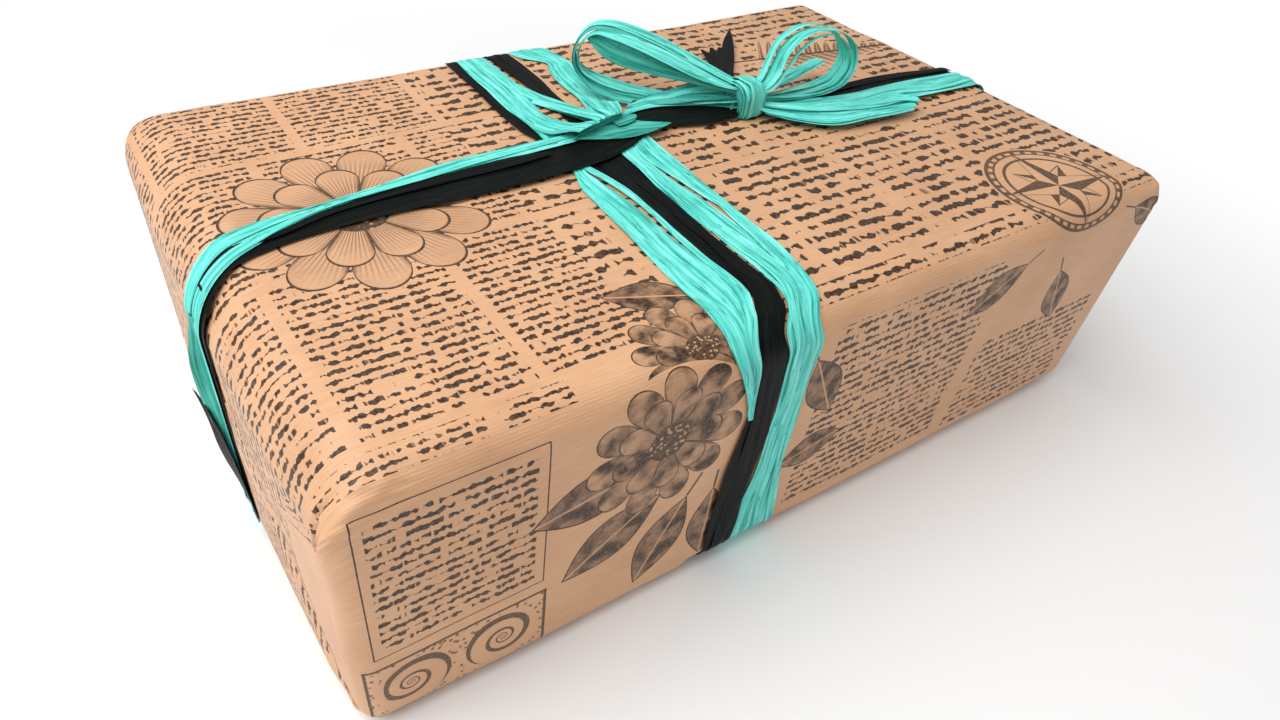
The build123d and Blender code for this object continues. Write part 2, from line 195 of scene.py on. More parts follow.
def round_section(v, inset_side=0.0, inset_top=0.0, inset_bottom=0.0, radius=long_edge_radius):
    """A rounded rectangle in the YZ plane, by distance v over the flat faces: 0 at the top's
    back edge, then over the top, down the front and on round. Each corner's arc takes a
    radius of the faces on both its sides. Returns y, z and the outward direction there."""
    side = half_depth - inset_side
    top, bottom = height - inset_top, inset_bottom
    v = np.mod(v, girth)
    starts = np.array([0.0, depth, depth + height, 2 * depth + height, girth])
    face = np.clip(np.searchsorted(starts, v, side="right") - 1, 0, 3)
    share = (v - starts[face]) / (starts[face + 1] - starts[face])
    reach = long_edge_radius / (starts[face + 1] - starts[face])
    flat = np.clip((share - reach) / (1 - 2 * reach), 0, 1)
    bend = np.clip(share / reach, 0, 1) / 2 - 0.5 + np.clip((share - 1 + reach) / reach, 0, 1) / 2
    angle = np.pi / 2 + (face + bend) * np.pi / 2
    corner_y = np.select([face == 0, face == 1, face == 2], [1 - 2 * flat, -1, 2 * flat - 1], 1)
    corner_z = np.select([face == 0, face == 1, face == 2], [1, 1 - 2 * flat, -1], 2 * flat - 1)
    out_y, out_z = np.cos(angle), np.sin(angle)
    y = corner_y * (side - radius) + radius * out_y
    z = (top + bottom) / 2 + corner_z * ((top - bottom) / 2 - radius) + radius * out_z
    return y, z, out_y, out_z


def outward(points):
    """Unit directions square to a grid's surface, from the cross product of its two runs."""
    across, along = np.gradient(points, axis=1), np.gradient(points, axis=0)
    normal = np.cross(along, across)
    return normal / np.maximum(np.linalg.norm(normal, axis=2, keepdims=True), 1e-9)


def shells_piece(name, shells, materials, replaced=()):
    """Makes one piece of closed shells. Each is a grid of points whose columns close round,
    with its own map of distances in millimetres, and may name its material by number. Its
    first and last rows are closed by a face, or joined where they are the same. A shell
    whose volume comes out negative has its faces turned."""
    points, faces, places, numbers, count = [], [], [], [], 0
    for grid, uv, *number in shells:
        ring = np.allclose(grid[0], grid[-1], atol=1e-3)
        if ring:
            grid = grid[:-1]
        rows, columns = grid.shape[:2]
        index = np.arange(rows * columns).reshape(rows, columns)
        after = np.roll(index, -1, axis=0) if ring else index[1:]
        before = index if ring else index[:-1]
        quads = np.stack([before, np.roll(before, -1, axis=1), np.roll(after, -1, axis=1), after],
                         axis=2).reshape(-1, 4)
        corners = [uv[:-1, :-1], uv[:-1, 1:], uv[1:, 1:], uv[1:, :-1]]
        quad_uv = np.stack(corners, axis=2).reshape(-1, 4, 2)
        corner = grid.reshape(-1, 3)[quads]
        volume = np.sum(corner[:, 0] * np.cross(corner[:, 1], corner[:, 2]))
        volume += np.sum(corner[:, 0] * np.cross(corner[:, 2], corner[:, 3]))
        ends = [] if ring else [index[0][::-1], index[-1]]
        end_uv = [] if ring else [uv[0, :-1][::-1], uv[-1, :-1]]
        if volume < 0:
            quads, quad_uv = quads[:, ::-1], quad_uv[:, ::-1]
            ends, end_uv = [e[::-1] for e in ends], [e[::-1] for e in end_uv]
        faces += (quads + count).tolist() + [(e + count).tolist() for e in ends]
        places += [quad_uv.reshape(-1, 2), *end_uv]
        numbers += (number or [0]) * (len(quads) + len(ends))
        points.append(grid.reshape(-1, 3))
        count += rows * columns
    mesh = bpy.data.meshes.new(name)
    mesh.from_pydata((np.concatenate(points) * MM).tolist(), [], faces)
    layer = mesh.uv_layers.new(name="millimetres")
    layer.data.foreach_set("uv", np.concatenate(places).astype(np.float32).ravel())
    for material in materials:
        mesh.materials.append(material)
    mesh.polygons.foreach_set("material_index", numbers)
    mesh.shade_smooth()
    mesh.set_sharp_from_angle(angle=math.radians(50))
    piece = bpy.data.objects.new(name, mesh)
    bpy.context.scene.collection.objects.link(piece)
    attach(piece, "root")
    if replaced:
        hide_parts(*replaced)


def paper_ripple(u, v):
    """How far the paper stands off the box: long shallow waves, and sharp small pleats that
    fan out from the near left corner of the top, where the end was folded in."""
    waves = 0.30 * hash_noise(u / 46, v / 30, 1) + 0.14 * hash_noise(u / 15, v / 13, 2) - 0.30
    reach = np.hypot(u, (v - depth) * 1.1)
    pleats = 1 - np.abs(hash_noise(u / 9 + v / 17, v / 3.4 - u / 14, 3)) * 2
    waves += 0.75 * pleats * np.exp(-((reach - 6) / 13) ** 2)
    far_reach = np.hypot(u - 2 * half_length, v - depth)
    waves += 0.3 * pleats * np.exp(-((far_reach - 6) / 12) ** 2)
    return waves


# Distances along the parcel, and round it from the seam on the underside
belt_steps, cap_steps, turn_steps = 190, 26, 9
round_v = np.unique(np.concatenate([
    np.linspace(seam_v, seam_v + girth, 330),
    *[edge + np.linspace(-1, 1, 17) * long_edge_radius for edge in
      (-height, 0.0, depth, depth + height)],
]))
round_v = round_v[np.concatenate([np.diff(round_v) > 0.2, [True]])]
bend = np.concatenate([
    np.full(cap_steps, 1.0),
    np.linspace(1, 0, turn_steps),
    np.full(belt_steps, 0.0),
    np.linspace(0, 1, turn_steps),
    np.full(cap_steps, 1.0),
]) * np.pi / 2
fold_in = np.concatenate([
    np.linspace(1, 0, cap_steps + 1)[:-1],
    np.zeros(2 * turn_steps + belt_steps),
    np.linspace(0, 1, cap_steps + 1)[1:],
])
share = np.concatenate([
    np.zeros(cap_steps + turn_steps),
    np.linspace(0, 1, belt_steps + 2)[1:-1],
    np.ones(cap_steps + turn_steps),
])
left_half = (np.arange(len(share)) < len(share) / 2)[:, None]
bend, fold_in, share = bend[:, None], fold_in[:, None], share[:, None]

v = round_v[None, :-1] + 0 * share
mean_end = height / 2 - 3.0
_, _, facing_y, facing_z = round_section(v)
top_radius = np.where(left_half, left_top_radius, end_radius)
inset_top = top_radius * (1 - np.cos(bend)) + fold_in * (mean_end - top_radius)
inset_low = end_radius * (1 - np.cos(bend)) + fold_in * (mean_end - end_radius)
inset_side = side_end_radius * (1 - np.cos(bend)) + fold_in * (mean_end - side_end_radius)
corner_radius = np.maximum(long_edge_radius - 1.05 * inset_side, 0.4 * (1 - fold_in) + 0.01)
y, z, _, _ = round_section(v, inset_side, inset_top, inset_low, corner_radius)
up, down, aside = (np.maximum(f, 0) ** 2 for f in (facing_z, -facing_z, np.abs(facing_y)))
radius = top_radius * up + end_radius * down + side_end_radius * aside
from_end = radius * (1 - np.sin(bend))
x = np.where(
    share <= 0, -gusset_end + from_end,
    np.where(share >= 1, gusset_end - from_end, 0))
left_stop = -gusset_end + left_top_radius * up + end_radius * down + side_end_radius * aside
right_stop = gusset_end - end_radius * (up + down) - side_end_radius * aside
x = np.where((share > 0) & (share < 1), left_stop + share * (right_stop - left_stop), x)
grown = np.stack([x, y, z], axis=2)

# The print's coordinates keep on down the ends, as the folded sheet does
past_end = radius * bend + fold_in * (mean_end - radius)
sheet_u = np.where(share <= 0, radius - past_end, np.where(
    share >= 1, 2 * half_length - radius + past_end, x + half_length))
# On the tucked-in sides its rows stay level, as those of the front and the back are
level_v = np.where(facing_y < 0, depth + height - z, z - height)
tucked = (np.abs(facing_y) > 0.9) * smooth_step(fold_in, 0.0, 0.1)
sheet_uv = np.stack([sheet_u, v + (level_v - v) * tucked], axis=2)
last_uv = np.stack([sheet_u[:, :1], 0 * share + seam_v + girth], axis=2)
sheet_uv = np.concatenate([sheet_uv, last_uv], axis=1)

normal = outward(np.concatenate([grown, grown[:, :1]], axis=1))[:, :-1]
normal = normal * np.sign(np.sum(normal * (grown - [0, 0, height / 2]), axis=2, keepdims=True))
calm = 1 - 0.8 * smooth_step(fold_in, 0.0, 0.15)
under = (facing_z < -0.9) & (fold_in < 0.01)
ripple = np.where(under, 0.0, paper_ripple(sheet_u, v) * calm)
grown = grown + normal * ripple[:, :, None]
grown[:, :, 2] += np.where(under & (y > seam_y), seam_step * (1 - smooth_step(y, 82, 92)), 0)
grown[:, :, 0] *= 1 - end_bulge / half_length * (grown[:, :, 1] / half_depth) ** 2
grown[:, :, 2] = np.maximum(grown[:, :, 2], 0.0)

# Under the parcel the ties press shallow channels into the paper. For each tie: the place
# across its run, the share of the run, the channel's two sides at the start and at the end of
# the run, and how deep it is.
low_side = smooth_step(-facing_z, 0.0, 0.25) * (fold_in < 0.01)
across = (grown[:, :, 1] + half_depth) / depth
along = (grown[:, :, 0] + half_length) / (2 * half_length)
channels = [
    (grown[:, :, 0], across, (-44.0, -9.0), (-35.0, 7.0), 1.85),
    (grown[:, :, 1], along, (-15.5, 3.0), (-13.0, 7.0), 1.35),
]
channel_slope = 2
dent = 0 * across
for place, share, (start_low, start_high), (end_low, end_high), deep in channels:
    side_low = start_low + share * (end_low - start_low)
    side_high = start_high + share * (end_high - start_high)
    inside = smooth_step(place, side_low - channel_slope, side_low)
    inside = inside * smooth_step(-place, -side_high - channel_slope, -side_high)
    dent = np.maximum(dent, deep * inside)
grown[:, :, 2] += dent * low_side


# Brown kraft paper, machine glazed on its outer side: a fine ribbing runs along the parcel,
# and the print is dark brown ink that has sunk in unevenly. The print is newsprint-like rows
# that spell nothing, a fern frond, a daisy with leaves, a compass rosette and scrolls.
kraft_colour, kraft_dark, kraft_pale = "D6A57D", "CC9B74", "DEAF87"
ink_colour = "2C190A"
rib_pitch = 1.15
column_width, column_gap = 46.0, 3.2
article_height, article_gap = 61.0, 3.0
small_pitch, large_pitch = 3.1, 5.3

# On the sheet from one place along the parcel to another, and from one place round it to
# another: where the type is large, where the front is bare, and the blocks of rows on it
large_type = [(92, 296, -4, 180)]
bare_front = [(-30, 330, 181, 274), (62, 104, 170, 181)]
front_blocks = [(9, 50, 192, 239), (143, 214, 191, 263), (222, 286, 226, 266)]
ruled_frame, rule_width = (5.5, 53, 189, 241), 0.4


def shape_group(name, build):
    """A node group that takes a place on the sheet and gives how much ink a motif has there
    and how much of the rows it clears."""
    group = bpy.data.node_groups.new(name, "ShaderNodeTree")
    group.interface.new_socket("place", in_out="INPUT", socket_type="NodeSocketVector")
    group.interface.new_socket("ink", in_out="OUTPUT", socket_type="NodeSocketFloat")
    group.interface.new_socket("cleared", in_out="OUTPUT", socket_type="NodeSocketFloat")
    place = add_node(group, "NodeGroupInput")
    add_node(group, "NodeGroupOutput", build(group, place))
    return group


def chain(tree, value, *steps):
    """Sends a value through one node after another. A step is the node's kind, or its kind
    and its inputs after the first."""
    for step in steps:
        kind, *others = [step] if isinstance(step, str) else step
        value = add_node(tree, kind, [value, *others])
    return value


def add_rows(group, place):
    """Rows of words that spell nothing, in columns. On the front there are only a few blocks,
    one in a ruled frame. In a row quick noise moves the line up and down and another
    makes it thick and thin, as type too small to read, and slow noise parts its words."""
    u, v, _ = add_node(group, "SeparateXYZ", [place]).node.outputs
    article = add_node(group, "MULTIPLY_ADD", [v, 1 / article_height, 0.22])
    head = chain(group, article, "FRACT", ("GREATER_THAN", article_gap / article_height))
    shift = chain(group, article, "FLOOR", ("MULTIPLY", 0.37))
    column = chain(group, u, ("MULTIPLY_ADD", 1 / column_width, shift), "FRACT",
                   ("GREATER_THAN", column_gap / column_width))
    area = add_node(group, "MULTIPLY", [head, column])

    def rectangles(blocks):
        """One in any of these blocks, and none outside them."""
        found = 0.0
        for left, right, start, stop in blocks:
            along = add_node(group, "COMPARE", [u, (left + right) / 2, (right - left) / 2])
            across = add_node(group, "COMPARE", [v, (start + stop) / 2, (stop - start) / 2])
            found = add_node(group, "MULTIPLY_ADD", [along, across, found])
        return add_node(group, "MINIMUM", [found, 1.0])

    covered = add_node(group, "SUBTRACT", [1.0, rectangles(bare_front)])
    area = add_node(group, "MULTIPLY_ADD", [area, covered, rectangles(front_blocks)])
    pitch = chain(group, rectangles(large_type), ("MapRange", 0.0, 1.0, small_pitch, large_pitch))
    left, right, start, stop = ruled_frame
    within = (left + rule_width, right - rule_width, start + rule_width, stop - rule_width)
    ruled = add_node(group, "SUBTRACT", [rectangles([ruled_frame]), rectangles([within])])
    row = add_node(group, "DIVIDE", [v, pitch])
    seed = chain(group, row, "FLOOR", ("MULTIPLY", 7.31))
    place_in_row = add_node(group, "DIVIDE", [u, pitch])
    at = add_node(group, "CombineXYZ", [place_in_row, seed, 0.0])
    words = add_node(group, "TexNoise", {"Vector": at, "Scale": 1.0, "Detail": 2.0},
                     noise_dimensions="2D")
    words = add_node(group, "MapRange", [words, 0.385, 0.42, 0.0, 1.0])
    type_noise = add_node(group, "TexNoise", {
        "Vector": at, "Scale": 1.6, "Detail": 1.0, "Roughness": 0.6},
        output=1, noise_dimensions="2D")
    thick, wander, _ = add_node(group, "SeparateColor", [type_noise]).node.outputs
    middle = add_node(group, "MapRange", [wander, 0.3, 0.7, 0.40, 0.60])
    off = chain(group, row, "FRACT", ("SUBTRACT", middle), "ABSOLUTE")
    ink = chain(group, thick, ("MapRange", 0.31, 0.60, 0.04, 0.29), ("SUBTRACT", off),
                ("MapRange", -0.02, 0.05, 0.0, 1.0), ("MULTIPLY", words),
                ("MULTIPLY_ADD", area, ruled))
    return ink, area


def add_fern(group, place):
    """A fern frond one unit long: a stem along x and leaflets that slant from it in pairs,
    in an outline that is widest near the foot and runs out to the tip."""
    x, side, _ = add_node(group, "SeparateXYZ", [place]).node.outputs
    y = add_node(group, "ABSOLUTE", [side])
    left = add_node(group, "SUBTRACT", [1.0, x], use_clamp=True)
    foot = add_node(group, "MapRange", [x, 0.0, 0.2, 0.0, 0.34], interpolation_type="SMOOTHSTEP")
    outline = add_node(group, "MULTIPLY", [left, foot])
    reach = add_node(group, "DIVIDE", [y, outline])
    beside = chain(group, y, ("MULTIPLY_ADD", -0.6, x), ("MULTIPLY", 15.0), "FRACT",
                   ("SUBTRACT", 0.5), "ABSOLUTE")
    taper = add_node(group, "POWER", [reach, 2.2], use_clamp=True)
    rib = add_node(group, "MapRange", [beside, 0.03, 0.07, 0.25, 1.0])
    hatch = add_node(group, "TexWave", {"Vector": place, "Scale": 14.0}, output=1,
                     bands_direction="Y", wave_profile="SIN")
    hatch = add_node(group, "MapRange", [hatch, 0.2, 0.8, 0.55, 1.0])
    along = add_node(group, "GREATER_THAN", [x, 0.0])
    inside = chain(group, reach, ("LESS_THAN", 1.0), ("MULTIPLY", along))
    body = chain(group, taper, ("MULTIPLY_ADD", -0.40, 0.40), ("SUBTRACT", beside),
                 ("MapRange", 0.0, 0.04, 0.0, 1.0), ("MULTIPLY", rib), ("MULTIPLY", hatch),
                 ("MULTIPLY", inside))
    reached = add_node(group, "MapRange", [x, -0.16, -0.14, 0.0, 1.0])
    short = add_node(group, "LESS_THAN", [x, 0.97])
    stem = chain(group, y, ("MapRange", 0.006, 0.010, 1.0, 0.0), ("MULTIPLY", reached),
                 ("MULTIPLY", short))
    return add_node(group, "MAXIMUM", [body, stem]), inside


def add_leaf(group, place):
    """A leaf one unit long: two arcs meet at its tips, with a drawn outline, a light midrib,
    slanting veins and a hatched tone that is darker on one side."""
    x, side, _ = add_node(group, "SeparateXYZ", [place]).node.outputs
    y = add_node(group, "ABSOLUTE", [side])
    half = chain(group, x, ("MULTIPLY", math.pi), "SINE", ("MULTIPLY", 0.24))
    rim = add_node(group, "SUBTRACT", [half, y])
    between = chain(group, x, ("SUBTRACT", 0.5), "ABSOLUTE", ("LESS_THAN", 0.5))
    inside = chain(group, rim, ("GREATER_THAN", 0.0), ("MULTIPLY", between))
    line = add_node(group, "MapRange", [rim, 0.014, 0.026, 1.0, 0.0])
    slant = add_node(group, "MULTIPLY_ADD", [y, -0.7, x])
    vein = chain(group, slant, ("MULTIPLY", 7.0), "FRACT", ("MapRange", 0.80, 0.90, 0.0, 0.75))
    dark_side = add_node(group, "MapRange", [side, -0.02, 0.02, 0.45, 0.75])
    shade = add_node(group, "TexNoise", {"Vector": place, "Scale": 5.0, "Detail": 6.0})
    shade = add_node(group, "MapRange", [shade, 0.40, 0.60, 0.50, 1.0])
    midrib = add_node(group, "MapRange", [y, 0.006, 0.014, 0.15, 1.0])
    ink = chain(group, slant, ("MULTIPLY", 44.0), "FRACT", ("LESS_THAN", dark_side),
                ("MULTIPLY", 0.55), ("MAXIMUM", vein), ("MAXIMUM", shade), ("MULTIPLY", midrib),
                ("MAXIMUM", line), ("MULTIPLY", inside))
    before = add_node(group, "LESS_THAN", [x, 0.0])
    reached = add_node(group, "GREATER_THAN", [x, -0.25])
    stem = chain(group, y, ("MapRange", 0.010, 0.018, 0.9, 0.0), ("MULTIPLY", before),
                 ("MULTIPLY", reached))
    return add_node(group, "MAXIMUM", [ink, stem]), inside


def add_daisy(group, place, darkest=1.0):
    """A daisy one unit in radius, in polar terms: the cosine of half the petal count times the
    angle gives each petal's round tip. Lines from the centre and a cloudy tone, up to the
    darkest, shade the petals."""
    radius = add_node(group, "VectorMath", [place], output=1, operation="LENGTH")
    u, v, _ = add_node(group, "SeparateXYZ", [place]).node.outputs
    angle = add_node(group, "ARCTAN2", [v, u])
    inside, ink = 0.0, 0.0
    shade = add_node(group, "TexNoise", {"Vector": place, "Scale": 3.0, "Detail": 6.0})
    shade = add_node(group, "MapRange", [shade, 0.40, 0.60, 0.25 * darkest, darkest])
    for petals, size, twist in ((11, 1.0, 0.0), (9, 0.70, 0.35)):
        wave = chain(group, angle, ("MULTIPLY_ADD", petals / 2, twist), "COSINE", "ABSOLUTE")
        rim = chain(group, wave, ("POWER", 0.35), ("MULTIPLY_ADD", 0.46 * size, 0.54 * size),
                    ("SUBTRACT", radius))
        here = add_node(group, "GREATER_THAN", [rim, 0.0])
        line = add_node(group, "MapRange", [rim, 0.016, 0.030, 1.0, 0.0])
        gap = add_node(group, "MapRange", [wave, 0.10, 0.42, 0.95, 0.0])
        deep = add_node(group, "MapRange", [radius, 0.30 * size, 0.92 * size, 0.9, 0.1])
        tone = chain(group, angle, ("MULTIPLY", petals * 1.75), "FRACT",
                     ("MapRange", 0.50, 0.62, 0.0, 1.0), ("MULTIPLY", deep), ("MAXIMUM", gap),
                     ("MAXIMUM", shade), ("MAXIMUM", line))
        ink = add_node(group, "Mix", [here, None, ink, tone], data_type="FLOAT")
        inside = add_node(group, "MAXIMUM", [here, inside])
    seeds = add_node(group, "TexVoronoi", {"Vector": place, "Scale": 17.0})
    seeds = add_node(group, "MapRange", [seeds, 0.28, 0.42, 0.25, 0.95])
    heart = add_node(group, "LESS_THAN", [radius, 0.25])
    ink = add_node(group, "Mix", [heart, None, ink, seeds], data_type="FLOAT")
    return ink, inside


def add_rosette(group, place):
    """A compass rosette one unit in radius: eight points, each with a dark and a light half,
    in two rings with a ticked border. The angle is folded to an eighth of a turn, where a
    point's edge is a straight line."""
    radius = add_node(group, "VectorMath", [place], output=1, operation="LENGTH")
    u, v, _ = add_node(group, "SeparateXYZ", [place]).node.outputs
    angle = add_node(group, "ARCTAN2", [v, u])
    ink = 0.0
    for size, start, narrow in ((0.62, math.pi / 4, 2.4), (0.92, 0.0, 3.6)):
        eighth = chain(group, angle, ("ADD", start), ("MULTIPLY_ADD", 2 / math.pi, 0.5), "FRACT",
                       ("SUBTRACT", 0.5))
        folded = chain(group, eighth, "ABSOLUTE", ("MULTIPLY", math.pi / 2))
        along = add_node(group, "COSINE", [folded])
        edge = chain(group, folded, "SINE", ("MULTIPLY_ADD", narrow, along),
                     ("MULTIPLY", radius))
        here = add_node(group, "LESS_THAN", [edge, size])
        line = add_node(group, "MapRange", [edge, size - 0.06, size - 0.03, 0.0, 1.0])
        tone = chain(group, eighth, ("GREATER_THAN", 0.0), ("MAXIMUM", line), ("MULTIPLY", 0.9))
        ink = add_node(group, "Mix", [here, None, ink, tone], data_type="FLOAT")
    for ring, thick in ((0.72, 0.018), (0.96, 0.022), (0.86, 0.010)):
        drawn = chain(group, radius, ("SUBTRACT", ring), "ABSOLUTE",
                      ("MapRange", thick, thick + 0.01, 0.9, 0.0))
        ink = add_node(group, "MAXIMUM", [ink, drawn])
    border = chain(group, radius, ("SUBTRACT", 0.91), "ABSOLUTE", ("LESS_THAN", 0.045))
    ticks = chain(group, angle, ("MULTIPLY", 32 / (2 * math.pi)), "FRACT", ("LESS_THAN", 0.45),
                  ("MULTIPLY", border), ("MULTIPLY", 0.85))
    inside = add_node(group, "LESS_THAN", [radius, 1.02])
    return chain(group, ink, ("MAXIMUM", ticks), ("MULTIPLY", inside)), inside


def add_scroll(group, place):
    """A row of scrolls in a ruled frame one unit tall and two long: in each of its two squares
    the angle plus the radius's logarithm makes a spiral, and fine dots fill the corners."""
    u, v, _ = add_node(group, "SeparateXYZ", [place]).node.outputs
    mirror = add_node(group, "SIGN", [u])
    square = chain(group, u, "FRACT", ("SUBTRACT", 0.5), ("MULTIPLY", mirror))
    centred = add_node(group, "CombineXYZ", [square, v, 0.0])
    radius = add_node(group, "VectorMath", [centred], output=1, operation="LENGTH")
    angle = add_node(group, "ARCTAN2", [v, square])
    turns = add_node(group, "MULTIPLY", [angle, 1 / (2 * math.pi)])
    spiral = chain(group, radius, ("LOGARITHM", math.e), ("MULTIPLY_ADD", 1.15, turns), "FRACT",
                   ("SUBTRACT", 0.5), "ABSOLUTE", ("MapRange", 0.13, 0.17, 0.9, 0.0))
    round_part = add_node(group, "LESS_THAN", [radius, 0.42])
    dots = add_node(group, "TexVoronoi", {"Vector": place, "Scale": 15.0})
    dots = add_node(group, "MapRange", [dots, 0.28, 0.36, 0.8, 0.0])
    ink = add_node(group, "Mix", [round_part, None, dots, spiral], data_type="FLOAT")
    tall = add_node(group, "ABSOLUTE", [v])
    far = chain(group, u, "ABSOLUTE", ("SUBTRACT", 0.5), ("MAXIMUM", tall))
    inside = add_node(group, "LESS_THAN", [far, 0.5])
    frame_line = add_node(group, "MapRange", [far, 0.46, 0.47, 0.0, 0.95])
    return chain(group, ink, ("MAXIMUM", frame_line), ("MULTIPLY", inside)), inside


rows_group = shape_group("newsprint_rows", add_rows)
fern_group = shape_group("fern_frond", add_fern)
leaf_group = shape_group("leaf", add_leaf)
daisy_group = shape_group("daisy", add_daisy)
line_daisy_group = shape_group("line_daisy", lambda group, place: add_daisy(group, place, 0.16))
rosette_group = shape_group("compass_rosette", add_rosette)
scroll_group = shape_group("scrolls", add_scroll)

# Each kind of motif: its group, the middle and half sizes of the oval that it fills, in its own
# units, and each place on the sheet, turn in degrees and size in mm at which it is printed
motifs = [
    (fern_group, (0.42, 0.0), (0.62, 0.40), [
        (228, 48, 8, 70), (290, -20, 195, 66), (-8, 96, 184, 36)]),
    (leaf_group, (0.40, 0.0), (0.66, 0.28), [
        (84, 213, 172, 36), (89, 227, 148, 36), (99, 234, 116, 34), (109, 236, 90, 30),
        (134, 241, -10, 26), (104, 214, 176, 22), (137, 200, 62, 28),
        (110, 162, 205, 26), (226, 196, 150, 26), (280, 190, 20, 24), (250, 206, 64, 26),
        (104, -24, 120, 34), (140, -60, -40, 34), (330, 96, 95, 34)]),
    (daisy_group, (0.0, 0.0), (1.02, 1.02), [
        (98, 179, 30, 19), (88, 207, 10, 25), (122, -44, 0, 26)]),
    (line_daisy_group, (0.0, 0.0), (1.02, 1.02), [(48, 88, 0, 37), (180, 370, 15, 28)]),
    (rosette_group, (0.0, 0.0), (1.04, 1.04), [(254, 168, 8, 24), (60, 330, 0, 30)]),
    (scroll_group, (0.0, 0.0), (1.50, 0.80), [(28, 258, 0, 26)]),
]
no_print = (-9.0, -9.0, 0.0)

kraft, tree = new_material("printed_brown_kraft_paper")
sheet = add_node(tree, "UVMap", uv_map="millimetres")
rows_ink = add_node(tree, "Group", [sheet], node_tree=rows_group)
motif_ink, motif_area = 0.0, 0.0
for group, middle, half_sizes, prints in motifs:
    place = no_print
    for u, v, degrees, size in prints:
        here = add_node(tree, "Mapping", {
            "Vector": sheet, "Location": (u, v, 0.0), "Scale": (size, size, 1.0),
            "Rotation": (0.0, 0.0, math.radians(degrees))}, vector_type="TEXTURE")
        oval = add_node(tree, "Mapping", {
            "Vector": here, "Location": (*middle, 0.0), "Scale": (*half_sizes, 1.0)},
            vector_type="TEXTURE")
        far = add_node(tree, "VectorMath", [oval], output=1, operation="LENGTH")
        near = add_node(tree, "LESS_THAN", [far, 1.0])
        place = add_node(tree, "Mix", {0: near, 4: place, 5: here}, output=1, data_type="VECTOR")
    drawn, cleared = add_node(tree, "Group", [place], node_tree=group).node.outputs
    kept = add_node(tree, "SUBTRACT", [1.0, cleared])
    motif_ink = chain(tree, motif_ink, ("MULTIPLY", kept), ("MAXIMUM", drawn))
    motif_area = add_node(tree, "MAXIMUM", [motif_area, cleared])
bare = add_node(tree, "SUBTRACT", [1.0, motif_area])
ink = chain(tree, rows_ink, ("MULTIPLY", bare), ("MAXIMUM", motif_ink))
sunk = add_node(tree, "TexNoise", {"Vector": sheet, "Scale": 0.9, "Detail": 4.0})
sunk = add_node(tree, "MapRange", [sunk, 0.3, 0.6, 0.84, 1.0])
ink = add_node(tree, "MULTIPLY", [ink, sunk], use_clamp=True)

cloud = add_node(tree, "TexNoise", {"Vector": sheet, "Scale": 0.035, "Detail": 3.0})
fibre_place = add_node(tree, "Mapping", {"Vector": sheet, "Scale": (0.12, 1.6, 1.0)})
fibre = add_node(tree, "TexNoise", {"Vector": fibre_place, "Scale": 1.0, "Detail": 4.0})
tint = chain(tree, cloud, ("ADD", fibre), ("MapRange", 0.7, 1.3, 0.0, 1.0))
paper = add_node(tree, "ValToRGB", [tint])
ramp = paper.node.color_ramp
ramp.elements[0].color, ramp.elements[1].color = linear(kraft_dark), linear(kraft_pale)
ramp.elements.new(0.5).color = linear(kraft_colour)
colour = add_node(tree, "Mix", {0: ink, 6: paper, 7: linear(ink_colour)}, output=2,
                  data_type="RGBA")
ribs = add_node(tree, "TexWave", {
    "Vector": sheet, "Scale": 0.314 / rib_pitch, "Distortion": 0.5, "Detail": 1.0},
    output=1, bands_direction="Y")
relief = add_node(tree, "MULTIPLY_ADD", [fibre, 0.35, ribs])
bump = add_node(tree, "Bump", {"Height": relief, "Strength": 0.16, "Distance": 0.0003})
shader = add_node(tree, "BsdfPrincipled", {
    "Base Color": colour, "Roughness": 0.47, "Specular IOR Level": 0.42, "Normal": bump})
add_node(tree, "OutputMaterial", [shader])

shells_piece("wrapped_parcel_paper", [(grown, sheet_uv)], [kraft],
             ["wrapped_parcel"])


